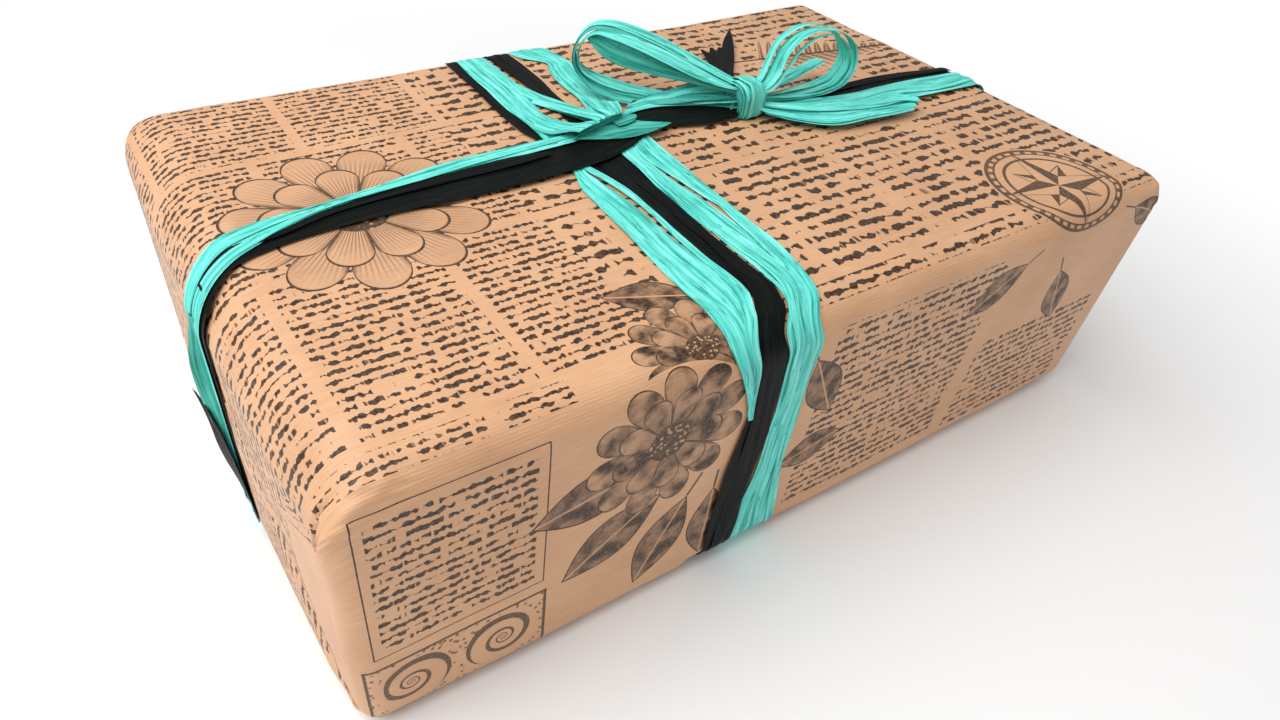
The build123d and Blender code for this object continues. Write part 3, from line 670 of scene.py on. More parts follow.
def flap_shell(side, from_top, reach, lift, seed):
    """One flap of an end: a thin sheet that comes out under the paper's round edge and lies
    on the end, with sides that run in at 45 degrees. Its height down the end and its
    place across it are the two parameters; its two faces are joined round the rim."""
    rows, columns = 34, 90
    turn_radius = left_top_radius if from_top and side < 0 else end_radius
    arc = turn_radius * np.pi / 2
    drop = np.linspace(0.35 * arc, arc + reach - turn_radius, rows)[:, None]
    angle = np.minimum(drop / turn_radius, np.pi / 2)
    below = np.maximum(drop - arc, 0)
    inset = turn_radius * (1 - np.cos(angle)) + below
    half_width = half_depth - 0.6 - inset - 6.0 * (1 - smooth_step(angle, 0.9, 1.57))
    across = np.sin(np.linspace(-np.pi / 2, np.pi / 2, columns))[None, :]
    y = across * half_width
    edge_wave = 0.8 * hash_noise(y / 16, 0 * y, seed) * smooth_step(below, reach - 22, reach - 8)
    faces = []
    for rise in (lift, -0.25):
        settled = smooth_step(angle, 0.8, 1.5)
        puff = 0.22 * hash_noise(y / 21, below / 17, seed + 4) * smooth_step(below, 0, 20)
        fade = 13.0 - 11.0 * from_top * smooth_step(below, 2, 12)
        thin = smooth_step(half_width - np.abs(y), 0.0, fade)
        swell = 0.65 * settled - 0.9 + (rise + 0.25) * settled * thin
        swell = swell + np.maximum(puff, -0.1) * thin * (rise > 0)
        reach_x = gusset_end - turn_radius + (turn_radius + swell) * np.sin(angle)
        z = (turn_radius + swell) * np.cos(angle) - turn_radius - below + edge_wave
        x = side * reach_x * (1 - end_bulge / half_length * (y / half_depth) ** 2)
        z = height + z if from_top else -z
        faces.append(np.stack([x, y, z + 0 * x], axis=2))
    grid = np.concatenate([faces[0], faces[1][:, ::-1]], axis=1)
    u = half_length + side * (half_length - turn_radius + drop) + 0 * y
    v = half_depth - y if from_top else depth + height + half_depth + y
    uv = np.stack([u, v], axis=2)
    uv = np.concatenate([uv, uv[:, ::-1], uv[:, :1]], axis=1)
    return grid, uv


flaps = []
for side in (-1, 1):
    flaps.append(flap_shell(side, True, top_flap_reach, paper_step, 11 + side))
    flaps.append(flap_shell(side, False, bottom_flap_reach, 2 * paper_step, 21 + side))
shells_piece("end_flaps", flaps, [kraft])


# The crosswise tie: teal, black and teal paper raffia side by side, once round the parcel.
# Raffia is a flat cord of crinkled paper that has been unrolled, so each strand is several
# ribbons with lengthwise creases that part and lap over one another. Teal ribbons that lie in
# shade take a darker copy of the teal: painted shade.
# Each strand's three tones run from painted shade in its creases to a painted highlight on their
# ridges.
teal_shade_to_highlight = ("14887C", "58D7C9", "9AFDF2")
# A darker copy of the teal tones: painted shade, for teal ribbons that lie in shade.
shaded_teal_tones = ("0D665C", "37A797", "66CCBD")
black_shade_to_highlight = ("010302", "050907", "121B17")
crease_pitch, fine_pitch = 1.5, 0.7
ply = 0.16
# How far the strands' middle surface lies off the paper, and over the table in its channel
strand_gap, strand_floor = 0.22, 1.62


def smooth_run(at, keys, values):
    """A smooth curve through values at increasing keys: a cubic between two keys, with the
    slopes there that the values' neighbours give."""
    keys, values = np.asarray(keys, float), np.asarray(values, float)
    slopes = np.gradient(values, keys, axis=0)
    i = np.clip(np.searchsorted(keys, at, side="right") - 1, 0, len(keys) - 2)
    span = keys[i + 1] - keys[i]
    t = np.clip((at - keys[i]) / span, 0, 1)
    if values.ndim > 1:
        t, span = t[:, None], span[:, None]
    run = values[i] * (1 + 2 * t) * (1 - t) ** 2 + values[i + 1] * t * t * (3 - 2 * t)
    return run + span * (slopes[i] * t * (1 - t) ** 2 - slopes[i + 1] * t * t * (1 - t))


def length_along(points):
    """The distance from the first point to each one, as the sum of the steps between them."""
    return np.concatenate([[0], np.cumsum(np.linalg.norm(np.diff(points, axis=0), axis=1))])


def ribbon(left, right, up, lift, creases, seed, columns=11, closed=False):
    """A thin creased ribbon between two edge lines. Across it the share w runs from 0 to 1 on
    the upper side and back on the lower one. Its middle surface lies over the line between
    the edges by lift plus creases times (0.85 - 1.5 |noise| + a quarter of finer noise), both
    stretched along the run. A closed one reads its noise on a circle, so its ends meet."""
    w = np.concatenate([np.linspace(0, 1, columns), np.linspace(1, 0, columns)[1:-1]])[None, :]
    side = np.concatenate([np.ones(columns), -np.ones(columns - 2)])[None, :]
    side = side * np.sqrt(np.clip(1 - (2 * w - 1) ** 8, 0, 1))
    middle = (left + right) / 2
    along = length_along(middle)[:, None]
    width = np.linalg.norm(right - left, axis=1, keepdims=True)
    full = np.median(width)
    turn = 2 * np.pi * along / along[-1]
    near = (20 * np.cos(turn), 20 * np.sin(turn)) if closed else (along, 0 * along)
    wander = hash_noise(near[0] / 26 + seed, near[1] / 26 + 3.1, 4)
    fold = hash_noise(near[0] / 34 + 0.31 * near[1] + seed * 5.3,
                      w * full / crease_pitch + 0.5 * wander + seed * 2.7, 5)
    fine = hash_noise(near[0] / 15 + 0.17 * near[1] + seed, w * full / fine_pitch + seed, 6)
    height_over = lift + creases * (0.85 - 1.5 * np.abs(fold) + 0.25 * fine)
    height_over = height_over + side * ply / 2
    spread = left[:, None, :] + (right - left)[:, None, :] * w[:, :, None]
    grid = spread + up[:, None, :] * height_over[:, :, None]
    uv = np.stack([along + 0 * w + seed * 37, (w - 0.5) * width + seed * 11], axis=2)
    return grid, np.concatenate([uv, uv[:, :1]], axis=1)


def standing(out_z):
    """How far a strand's creases stand up, by how far it faces up: fully on the top and the
    sides, and a tenth of that under the parcel, where it is pressed into its channel."""
    return 1 - 0.9 * smooth_step(-out_z, 0.1, 0.9)


def cross_ribbon(rows, lift, creases, seed, step=1.7, ragged=0.25):
    """A ribbon round the parcel from rows of sheet distance v and its two edges in x. Under
    the parcel it is pressed flat into its channel. One that comes round to its start closes."""
    rows = np.array(rows, float)
    closed = rows[-1, 0] - rows[0, 0] > girth - 1
    v = np.linspace(rows[0, 0], rows[-1, 0], int((rows[-1, 0] - rows[0, 0]) / step) + 2)
    edges = smooth_run(v, rows[:, 0], rows[:, 1:])
    y, z, out_y, out_z = round_section(
        v, -strand_gap, -strand_gap, strand_floor, long_edge_radius + strand_gap)
    pressed = standing(out_z)
    fade = smooth_step(pressed, 0.1, 1.0)
    edges[:, 0] += ragged * fade * hash_noise(v / 11 + seed, v * 0 + 1.7, 7)
    edges[:, 1] += ragged * fade * hash_noise(v / 13 + seed, v * 0 + 9.2, 8)
    left, right = np.stack([edges[:, 0], y, z], axis=1), np.stack([edges[:, 1], y, z], axis=1)
    up = np.stack([0 * v, out_y, out_z], axis=1)
    return ribbon(left, right, up * pressed[:, None], lift, creases, seed, closed=closed)


def raffia(name, tones, roughness, gloss):
    """Paper raffia: streaks of three tones run along the ribbon, and the same streaks raise it.
    They are the paper's uneven tone and also painted light on its creases: the deepest tone,
    in the hollows, is painted shade and the palest, on the ridges, a painted highlight. Dark
    thin slits along it are painted shade in its splits, and are sunk too. Fibres lie about
    0.35 mm apart."""
    deep, mid, pale = tones
    material, tree = new_material(name)
    run = add_node(tree, "UVMap", uv_map="millimetres")
    streaks = []
    for scale, start, detail, roughness_of_noise in (
            ((0.035, 0.75, 1), (0, 0, 0), 3.0, 0.6), ((0.14, 2.9, 1), (0, 0, 0), 2.0, 0.5),
            ((0.13, 1.9, 1), (3.7, 8.1, 0), 1.0, 0.5)):
        place = add_node(tree, "Mapping", {"Vector": run, "Scale": scale, "Location": start})
        streaks.append(add_node(tree, "TexNoise", {
            "Vector": place, "Scale": 1.0, "Detail": detail, "Roughness": roughness_of_noise}))
    folds, fibres, shaded_slits = streaks
    tone = chain(tree, fibres, ("MULTIPLY_ADD", 0.35, folds), ("MapRange", 0.45, 0.90, 0.0, 1.0))
    colour = add_node(tree, "ValToRGB", [tone])
    ramp = colour.node.color_ramp
    ramp.elements[0].color, ramp.elements[1].color = linear(deep), linear(pale)
    ramp.elements.new(0.42).color = linear(mid)
    # Thin dark slits: painted shade in the ribbon's splits
    shaded_slits = add_node(tree, "MapRange", [shaded_slits, 0.66, 0.70, 0.0, 0.9])
    colour = add_node(tree, "Mix", {0: shaded_slits, 6: colour, 7: linear(deep)}, output=2,
                      data_type="RGBA")
    relief = add_node(tree, "MULTIPLY_ADD", [folds, 1.4, fibres])
    relief = add_node(tree, "MULTIPLY_ADD", [shaded_slits, -1.0, relief])
    bump = add_node(tree, "Bump", {"Height": relief, "Strength": 0.45, "Distance": 0.0004})
    shader = add_node(tree, "BsdfPrincipled", {
        "Base Color": colour, "Roughness": roughness, "Specular IOR Level": gloss,
        "Normal": bump})
    add_node(tree, "OutputMaterial", [shader])
    return material


teal_and_shaded_teal = [raffia("teal_paper_raffia", teal_shade_to_highlight, 0.52, 0.30),
              raffia("teal_paper_raffia_painted_shade", shaded_teal_tones, 0.55, 0.25)]
black_raffia = raffia("black_paper_raffia", black_shade_to_highlight, 0.50, 0.10)

# Each ribbon's rows: sheet distance and the two edges. A loop starts and ends at one place
# under the parcel.
loop_start, loop_end = -136.5, girth - 136.5
left_wide = [
    (loop_start, -37, -25.5), (-100, -34.5, -21), (0, -33.6, -20.6), (20, -34, -20.2),
    (40, -34, -21), (56, -33.2, -24), (72, -33.4, -22.5), (88, -35.2, -31), (96, -36.4, -32.2),
    (103, -38.6, -31.6), (112, -39.6, -30.6), (122, -40.4, -30.3), (140, -42, -30.8),
    (160, -43.4, -30.2), (168, -43.4, -31), (176, -44.6, -35), (184, -45.2, -38),
    (194, -41.8, -36), (203, -37.8, -34.4), (211, -35.4, -33.2)]
left_low = [
    (208, -33.6, -29), (226, -35, -29.6), (250, -36.8, -31), (272, -37.6, -31.6),
    (300, -37, -25.5), (loop_end, -37, -25.5)]
left_slim = [
    (90, -33.4, -30.6), (97, -32, -29.2), (104, -30.6, -27.8), (112, -29.6, -26.6),
    (122, -29.2, -27), (134, -30, -28), (148, -30.6, -28.4), (160, -30.8, -27.9),
    (167, -32.6, -28.6), (175, -37, -32.8), (184, -41.6, -37), (196, -38.4, -35.6),
    (205, -36.8, -34.8), (212, -35.2, -33.8)]
left_under = [
    (34, -24.4, -20.2), (44, -23, -17.4), (52, -21.6, -13.4), (60, -18, -9.8), (68, -14.4, -8.4),
    (76, -12, -7)]
left_shade = [
    (150, -42.6, -38.6), (160, -43.6, -39.4), (170, -43.2, -37.6), (180, -44.8, -39.4),
    (188, -44, -40), (197, -40.2, -37.2), (204, -37, -35.6)]
right_inner = [
    (loop_start, -21.5, -13), (-100, -12.5, -4), (-10, -10.5, -4.6), (4, -9.8, -4.2), (12, -8, 4),
    (20, -1.4, 5.4), (28, -4.4, 4.6), (40, -6.6, 2.6), (52, -7.2, 1), (64, -9.4, -1.2),
    (74, -12, -3.2), (84, -12.6, -6), (95, -15.8, -11), (108, -17.2, -10.7), (122, -18.8, -9.9),
    (132, -19, -9.6), (146, -19, -9.8), (160, -19.4, -11.8), (170, -20.2, -12.6),
    (176, -22.6, -15.4), (184, -27.4, -21.8), (194, -26, -20.8), (206, -25.6, -20),
    (222, -25.4, -20.4), (236, -25.6, -20.6), (252, -28, -22.4), (268, -28.4, -22),
    (290, -27.8, -21), (loop_end, -21.5, -13)]
right_outer = [
    (loop_start, -14, -4), (-100, -5.5, 5), (-10, -5.6, 4.6), (4, -5.2, 4.6), (14, -0.4, 6.6),
    (22, 2.6, 7.6), (32, 1.2, 6.2), (46, 0.2, 4.6), (60, -2.6, 2.4), (74, -6, 0.4),
    (84, -7.4, -0.9), (95, -10.7, -1.4), (108, -10.3, -2.8), (120, -9.2, -4), (131, -8.2, -4.5),
    (142, -9.4, -5), (156, -11.4, -6), (166, -13, -8), (174, -17.2, -10.8), (184, -22.6, -15.6),
    (194, -21.6, -14.6), (206, -20.8, -15.4), (222, -21.2, -15), (238, -21.4, -15.3),
    (252, -23.4, -13.8), (268, -23.4, -12), (290, -22, -11), (loop_end, -14, -4)]
right_under = [
    (80, -13, -8.8), (90, -15.8, -10.6), (102, -16.8, -12.4), (114, -18.4, -14.4),
    (126, -18.9, -15.6), (140, -19.2, -16.2)]
right_lap = [
    (140, -18.4, -13.6), (150, -18, -12.6), (160, -17.6, -12.2), (170, -19.4, -13.8),
    (180, -25, -19.4), (192, -25.2, -20.6), (206, -24, -19.6), (220, -23.8, -20.6)]
right_fan = [
    (226, -19.2, -16.4), (238, -18.4, -15.2), (250, -17, -13.2), (262, -15, -11.6),
    (272, -13.4, -10.6), (280, -13, -10.4)]
black_main = [
    (loop_start, -25.8, -14.6), (-100, -19.6, -11.2), (0, -19.4, -10.6), (20, -19.2, -10.4),
    (34, -18.4, -11), (44, -17.4, -12), (56, -18.6, -12.6), (70, -20.2, -13), (84, -24, -13.6),
    (96, -29.6, -16.2), (106, -28, -16.6), (118, -26.8, -17.8), (132, -28.2, -19.4),
    (146, -28.6, -20), (158, -28.6, -20.1), (168, -28.4, -20.2), (176, -33.4, -23.8),
    (184, -37, -28.2), (194, -36.2, -26), (204, -35.2, -25.5), (216, -36.4, -26),
    (228, -38.2, -25.8), (242, -39, -27.4), (256, -39.4, -28.2), (270, -39.2, -28.8),
    (290, -38.6, -28.4), (loop_end, -25.8, -14.6)]
black_lap = [
    (108, -22.4, -17.6), (120, -22.6, -18.4), (132, -23.4, -19.4), (144, -23.8, -20),
    (156, -25.6, -20), (166, -27.4, -20.4), (176, -32.4, -23.6), (184, -35.6, -28.4),
    (196, -35.6, -27.2), (210, -34.4, -26.4), (226, -34.4, -26.2), (244, -35.2, -27.6),
    (262, -36, -28), (276, -36.4, -28.6)]
# A black strip that shows just left of the left teal strand near the back of the top: partly a
# black strand under the teal, partly painted shade under that strand's raised edge.
black_edge_and_shade_strip = [
    (3, -35.6, -31.4), (16, -36, -31.8), (30, -36.2, -32), (46, -37.2, -32), (58, -37.6, -31.6),
    (66, -37.2, -31.4), (74, -34.6, -29.6)]

shells_piece("teal_cross_left_raffia", [
    cross_ribbon(left_wide, 0.05, 0.34, 1.3),
    cross_ribbon(left_low, -0.10, 0.10, 1.9),
    cross_ribbon(left_slim, 0.34, 0.30, 2.1),
    cross_ribbon(left_under, 0.22, 0.26, 3.6),
    cross_ribbon(left_shade, 0.42, 0.34, 4.4),
], teal_and_shaded_teal, ["teal_cross_left"])

teal_cross_right_shells = [
    cross_ribbon(right_inner, 0.05, 0.36, 5.2),
    cross_ribbon(right_outer, 0.14, 0.34, 6.7),
    cross_ribbon(right_under, 0.30, 0.26, 7.7),
    cross_ribbon(right_lap, 0.46, 0.34, 8.8),
    cross_ribbon(right_fan, 0.36, 0.30, 9.1),
]

shells_piece("black_cross_raffia", [
    cross_ribbon(black_main, 0.02, 0.24, 10.6),
    cross_ribbon(black_lap, 0.26, 0.34, 11.9),
    cross_ribbon(black_edge_and_shade_strip, 0.00, 0.20, 12.5),
], [black_raffia], ["black_cross"])


# The fold at the crossing: the right teal strand comes forward over the lengthwise strands,
# turns down in a crease and ends in a tail with a notch, which points to the bow.
crossing_x = -22.0


def free_ribbon(stations, lift, creases, seed, columns=11, base=(0, 0, 0), step=1.3):
    """A ribbon in the air from rows of its two edges, each a point in space measured from the
    base. Its upper side faces along the run crossed with the width."""
    stations = np.array(stations, float) + [*base, *base]
    middle = (stations[:, :3] + stations[:, 3:]) / 2
    keys = length_along(middle)
    at = np.linspace(0, keys[-1], int(keys[-1] / step) + 2)
    edges = smooth_run(at, keys, stations)
    left, right = edges[:, :3], edges[:, 3:]
    along = np.gradient((left + right) / 2, axis=0)
    up = np.cross(right - left, along)
    up = up / np.maximum(np.linalg.norm(up, axis=1, keepdims=True), 1e-9)
    return ribbon(left, right, up, lift, creases, seed, columns)


# Each row: one edge and the other in space. The upper ply's ribbons come from the back to the
# crease; the lower ply is the tail, whose far part has been cut off short.
fold_upper = [
    [(-33, 33.5, 92, -24, 34, 92.1), (-32.6, 25, 92.4, -22, 27, 92.7),
     (-31, 18.4, 93.5, -19.6, 20.6, 94.2), (-28.4, 14, 95.6, -17.6, 16.2, 96.4),
     (-26.6, 11.4, 96.7, -16.4, 14, 97.1), (-25.8, 10.5, 96.8, -16, 13.4, 97.1)],
    [(-24, 44, 92.1, -19, 46, 92.1), (-20, 36, 92.5, -14.4, 38, 92.5),
     (-17.4, 28, 93.4, -11, 29.4, 93.5), (-17, 20.4, 95.4, -10.4, 21.6, 95.5),
     (-17.6, 15, 97, -11.2, 16, 97.1), (-17.8, 13.6, 97.2, -11.4, 14.8, 97.3)],
    [(-7.6, 33, 92.4, -1.4, 34.5, 92.5), (-10.4, 26, 93.8, -4.2, 27.5, 93.9),
     (-12.6, 20, 95.8, -6.8, 21, 95.8), (-13.2, 16.2, 97, -8, 17, 97),
     (-13.6, 14.4, 97.3, -8.4, 15.7, 97.2)],
    [(-2.2, 34, 92.5, 4.6, 35.5, 92.4), (-4.6, 27.4, 93.8, 2, 28.6, 93.5),
     (-7.2, 21, 95.6, -1.6, 22, 95.2), (-9, 17.4, 96.7, -4.2, 18.4, 96.4),
     (-9.6, 15.2, 97, -5, 16.9, 96.7)],
    [(-6.4, 40, 92.6, -3.6, 41, 92.6), (-8.2, 31, 93.4, -5.6, 31.6, 93.4),
     (-11.4, 22, 95.8, -8.6, 22.6, 95.8), (-12.4, 17, 97.2, -9.6, 17.4, 97.2),
     (-12.6, 14.8, 97.4, -10, 15.2, 97.4)],
]
fold_inside = [
    (-25.6, 10.9, 96.6, -25, 12.4, 94), (-19.4, 13.2, 96.9, -18.8, 14.9, 93.4),
    (-12.8, 14.8, 97.1, -12.2, 16.5, 93.3), (-8, 16.2, 96.9, -7.6, 17.7, 93.4),
    (-4.6, 17.6, 96.4, -4.6, 18.6, 93.9)]
fold_tail = [
    (-26.4, 13, 94, -26.8, 11.2, 94), (-21, 15.8, 93.7, -21.4, 10, 93.5),
    (-14.6, 18, 93.6, -15.4, 7.8, 93.4), (-8.6, 19.2, 93.6, -9.4, 6.2, 93.4),
    (-3.2, 18, 93.8, -4.2, 5.8, 93.5), (0.2, 13.4, 94, 0.4, 6, 93.7),
    (3.6, 10.6, 94.2, 4, 6.4, 94), (8.2, 7.4, 94.4, 8, 6.9, 94.3)]
fold_stub = [
    (-9, 18.8, 94.2, -9, 12.6, 94.2), (-4, 19, 94.5, -4.2, 13, 94.4),
    (-1.2, 18.6, 94.7, -1.4, 14, 94.6), (0.4, 16.8, 94.8, 0.2, 15.6, 94.8)]
shells_piece("teal_cross_right_raffia", [
    *teal_cross_right_shells,
    *[free_ribbon(rows, 0.0, 0.45, 13.3 + 1.6 * i) for i, rows in enumerate(fold_upper)],
    # The fold's inside, its tail and the stub take the darker teal: painted shade under the
    # crease.
    (*free_ribbon(fold_inside, 0.0, 0.10, 14.4), 1),
    (*free_ribbon(fold_tail, 0.0, 0.30, 15.2, columns=13), 1),
    (*free_ribbon(fold_stub, 0.0, 0.25, 16.1), 1),
], teal_and_shaded_teal, ["teal_cross_right"])


# The lengthwise tie: one black and one teal strand along the parcel and under it, drawn up
# over the crossing and held by the bow's knot. Both are flat ribbons that lap in places.
bow_x, bow_y = 40.5, 8.5
black_level, teal_level = height + 0.25, height + 0.70
# Each strand: which of the rows' columns are its edges, and its height under the parcel and on it
black_strand, teal_strand = (1, 2, 1.05, black_level), (3, 4, 0.60, teal_level)
climb, climb_half, climb_round = 0.95, 15.75, 60
# By place along the parcel: the black strand's two edges and the teal one's
length_rows = np.array([
    (-150, -14.5, -4.0, -12.0, 2.0), (-138, -7.6, 1.0, -5.8, 6.4), (-124, -3.8, 2.4, 1.4, 9.2),
    (-110, -2.2, 7.2, 6.2, 10.2), (-94, -2.0, 9.0, 7.7, 12.0), (-72, -3.2, 9.4, 8.3, 16.0),
    (-45, -3.7, 11.2, 10.2, 16.8), (-22, -1.6, 12.6, 11.7, 17.0), (-10, 2.6, 16.0, 14.4, 18.6),
    (0, 7.4, 21.6, 20.6, 23.0), (8, 8.8, 23.0, 21.8, 25.2), (15, 6.9, 22.0, 20.8, 24.6),
    (24.75, 4.4, 18.8, 17.4, 21.8), (35.25, 4.6, 14.6, 11.5, 15.5),
    (45.75, 4.0, 13.0, 4.0, 13.0), (56.25, 2.4, 12.0, -0.5, 8.6),
    (76.5, 1.0, 9.5, -7.0, 3.0), (114, 0.5, 9.0, -10.5, 2.5), (150, -3.0, 6.0, -12.0, 0.0)])


def loop_path(corners, rounds, step):
    """A closed path in a plane: straight runs between corners, each rounded by an arc that
    touches both runs. Points at even distances, with their directions away from the middle;
    the first is halfway along the first run."""
    corners, rounds = np.array(corners, float), np.array(rounds, float)
    before = corners - np.roll(corners, 1, axis=0)
    before /= np.linalg.norm(before, axis=1, keepdims=True)
    after = np.roll(before, -1, axis=0)
    outside = np.stack([before[:, 1], -before[:, 0]], axis=1)
    turn = np.arctan2(before[:, 0] * after[:, 1] - before[:, 1] * after[:, 0],
                      np.sum(before * after, axis=1))
    start = corners - before * (rounds * np.tan(np.abs(turn) / 2))[:, None]
    centre = start - outside * (rounds * np.sign(turn))[:, None]
    angle = np.arctan2(outside[:, 1], outside[:, 0])[:, None]
    angle = angle + turn[:, None] * np.linspace(0, 1, 24)[None, :]
    facing = np.stack([np.cos(angle), np.sin(angle)], axis=2)
    arcs = centre[:, None, :] + facing * (rounds * np.sign(turn))[:, None, None]
    arcs, facing = np.roll(arcs, -1, axis=0), np.roll(facing, -1, axis=0)
    halfway = (arcs[-1, -1] + arcs[0, 0]) / 2
    points = np.concatenate([[halfway], arcs.reshape(-1, 2), [halfway]])
    facing = np.concatenate([[facing[0, 0]], facing.reshape(-1, 2), [facing[0, 0]]])
    far = length_along(points)
    at = np.linspace(0, far[-1], int(far[-1] / step) + 1)
    points = np.stack([np.interp(at, far, points[:, i]) for i in (0, 1)], axis=1)
    facing = np.stack([np.interp(at, far, facing[:, i]) for i in (0, 1)], axis=1)
    return points, facing / np.linalg.norm(facing, axis=1, keepdims=True)


def length_ribbon(strand, shares, lift, creases, seed, only_top=None, ragged=0.22):
    """A ribbon along the parcel, between two shares of a strand's width. It goes all round,
    or only over a stretch of the top. The shares may change from row to row."""
    first, second, bottom, top = strand
    gap = top - height
    side = half_length + gap
    corners = [(-side, bottom), (side, bottom), (side, top), (bow_x + climb_half, top + climb),
               (crossing_x - climb_half, top + climb), (-side, top)]
    low_round, left_round = end_radius + gap, left_top_radius + gap
    rounds = [low_round, low_round, low_round, climb_round, climb_round, left_round]
    points, facing = loop_path(corners, rounds, 1.7)
    x, z = points.T
    edges = smooth_run(x, length_rows[:, 0], length_rows[:, [first, second]])
    ends = length_rows[[0, -1]]
    low = np.stack([np.interp(x, ends[:, 0], ends[:, i]) for i in (first, second)], axis=1)
    edges = np.where((z < height / 2)[:, None], low, edges)
    shares = np.array(shares, float)
    share = smooth_run(x, shares[:, 0], shares[:, 1:]) if len(shares) > 1 else shares[:, 1:]
    width = edges[:, 1] - edges[:, 0]
    sides = edges[:, :1] + share * width[:, None]
    pressed = standing(facing[:, 1])
    sides[:, 0] += ragged * pressed * hash_noise(x / 12 + seed, z / 12, 9)
    sides[:, 1] += ragged * pressed * hash_noise(x / 14 + seed, z / 12 + 4, 10)
    left = np.stack([x, sides[:, 1], z], axis=1)
    right = np.stack([x, sides[:, 0], z], axis=1)
    up = np.stack([facing[:, 0], 0 * x, facing[:, 1]], axis=1) * pressed[:, None]
    if only_top is not None:
        kept = (z > height / 2) & (x > only_top[0]) & (x < only_top[1])
        left, right, up = left[kept], right[kept], up[kept]
    return ribbon(left, right, up, lift, creases, seed, closed=only_top is None)


# Where the teal strand stands off the parcel's left end, and where it is drawn up into the
# knot: rows of one edge and the other
loose_teal = [
    (-151, -4, 80, -150.6, -8, 80), (-152.8, -5, 73, -150.8, -7.8, 73),
    (-154.3, -5, 66, -151, -7.6, 66), (-154.6, -5, 56.7, -151.2, -7.8, 56.7),
    (-154, -5.2, 47.4, -151.2, -8.4, 47.4), (-153.3, -5.4, 38, -151.2, -9.2, 38),
    (-151.8, -5, 23, -150.9, -10.6, 23), (-150.8, -4.6, 8, -150.8, -11.4, 8)]
drawn_up = [
    [(2.6, 25.2, 93.4, 3.4, 25.4, 93.9), (8.3, 24, 93.5, 8.6, 25.2, 94.9),
     (14.3, 22.7, 93.5, 14.8, 24.2, 95.3), (20, 20.9, 93.5, 20.6, 22.6, 96),
     (25.7, 18.9, 93.6, 26, 20.8, 96.8), (32.3, 15.8, 93.8, 32.8, 18, 97),
     (38, 13.4, 94.4, 38.4, 15.4, 97.4)],
    [(6.8, 25.2, 94.4, 7.4, 26, 95), (14, 23.6, 95, 14.6, 25.4, 96),
     (20.2, 21.6, 95.7, 20.8, 24.2, 97), (25.8, 19.6, 96.4, 26.2, 22.6, 98.4),
     (32.2, 16.8, 96.8, 32.8, 20, 98.9), (38, 14, 97.2, 38.4, 16.4, 99.2)],
    [(4.6, 27.4, 92.9, 6, 26, 94.6), (14.2, 27, 92.9, 14.4, 25.2, 95.9),
     (20.6, 26, 93, 20.8, 24, 96.9), (26.2, 24.8, 93.2, 26.2, 22.4, 98.2),
     (32.6, 21.8, 94, 32.8, 19.8, 98.7), (38.2, 17.4, 95.6, 38.4, 16.4, 99)],
]
shells_piece("teal_lengthwise_raffia", [
    length_ribbon(teal_strand, [(0, 0.0, 0.62)], 0.0, 0.26, 23.5),
    length_ribbon(teal_strand, [(0, 0.5, 1.0)], 0.10, 0.30, 24.2),
    length_ribbon(teal_strand, [
        (-148, 0.1, 0.4), (-120, 0.02, 0.36), (-80, 0.2, 0.6), (-50, 0.3, 0.7), (-30, 0.4, 0.6)],
        0.42, 0.3, 25.8, (-147, -31)),
    length_ribbon(teal_strand, [
        (50, 0.3, 0.7), (70, 0.05, 0.5), (100, 0.3, 0.8), (125, 0.1, 0.5), (147, 0.3, 0.6)],
        0.45, 0.35, 26.6, (50, 146)),
    *[free_ribbon(rows, 0.0, 0.5, 27.4 + 1.3 * i) for i, rows in enumerate(drawn_up)],
    # The loose strand off the left end takes the darker teal: painted shade, as it faces away from
    # the light.
    (*free_ribbon(loose_teal, 0.0, 0.35, 29.9), 1),
], teal_and_shaded_teal, ["teal_lengthwise"])

# The black strand's ends behind the knot, one cut ragged and one drawn to a point, as rows of
# their two edges in plan at one height, the last a little higher. Then a split that has sprung
# away from the parcel's left end, with x from just off the paper.
ends_z = black_level + climb
black_ends = [
    [(37, 11.5, 42, 11.5), (38.4, 17, 44, 15.6), (44.5, 30.4, 50, 28.6), (53, 41.5, 57.6, 39),
     (57.4, 50, 61, 48.4), (60.4, 57.4, 61.6, 56.8)],
    [(40.2, 13, 42.4, 12.6), (46, 29.5, 50.5, 28), (54.6, 42.5, 59, 40.6),
     (60.2, 51.2, 64.2, 49.4), (65.4, 57.6, 66.6, 57)],
    [(41.4, 13, 43.4, 12), (47.5, 29, 52, 27.4), (56.6, 42, 61.4, 40), (63, 50.6, 67.2, 48.8),
     (68.8, 56.6, 70.2, 55.6)],
    [(42.2, 11.6, 44.6, 11), (50.8, 33.2, 56, 31.4), (63.4, 48, 68.4, 46), (75.6, 61.4, 79.4, 60),
     (85.6, 70, 86, 69.6)],
]
split_x = -half_length - 0.25
loose_splits = [
    [(0, -4.8, 5, 0, -13.4, 5), (-0.9, -5.4, 15, -0.3, -13.6, 15),
     (-2.6, -4.8, 25.6, -0.9, -13, 25), (-3.6, -4, 33, -1.3, -11.6, 33),
     (-4, -3.2, 41, -2, -9, 41), (-4.5, -2.2, 47.8, -3, -7, 47), (-5.2, -0.3, 53.2, -4, -4.4, 52)],
    [(0.1, -13, 6, 0.1, -14.4, 6), (-0.7, -12.2, 21, -0.7, -14.2, 21),
     (-2, -9.4, 37, -2, -11, 37.4), (-3.4, -6, 49.4, -3.4, -6.4, 49.6)],
]
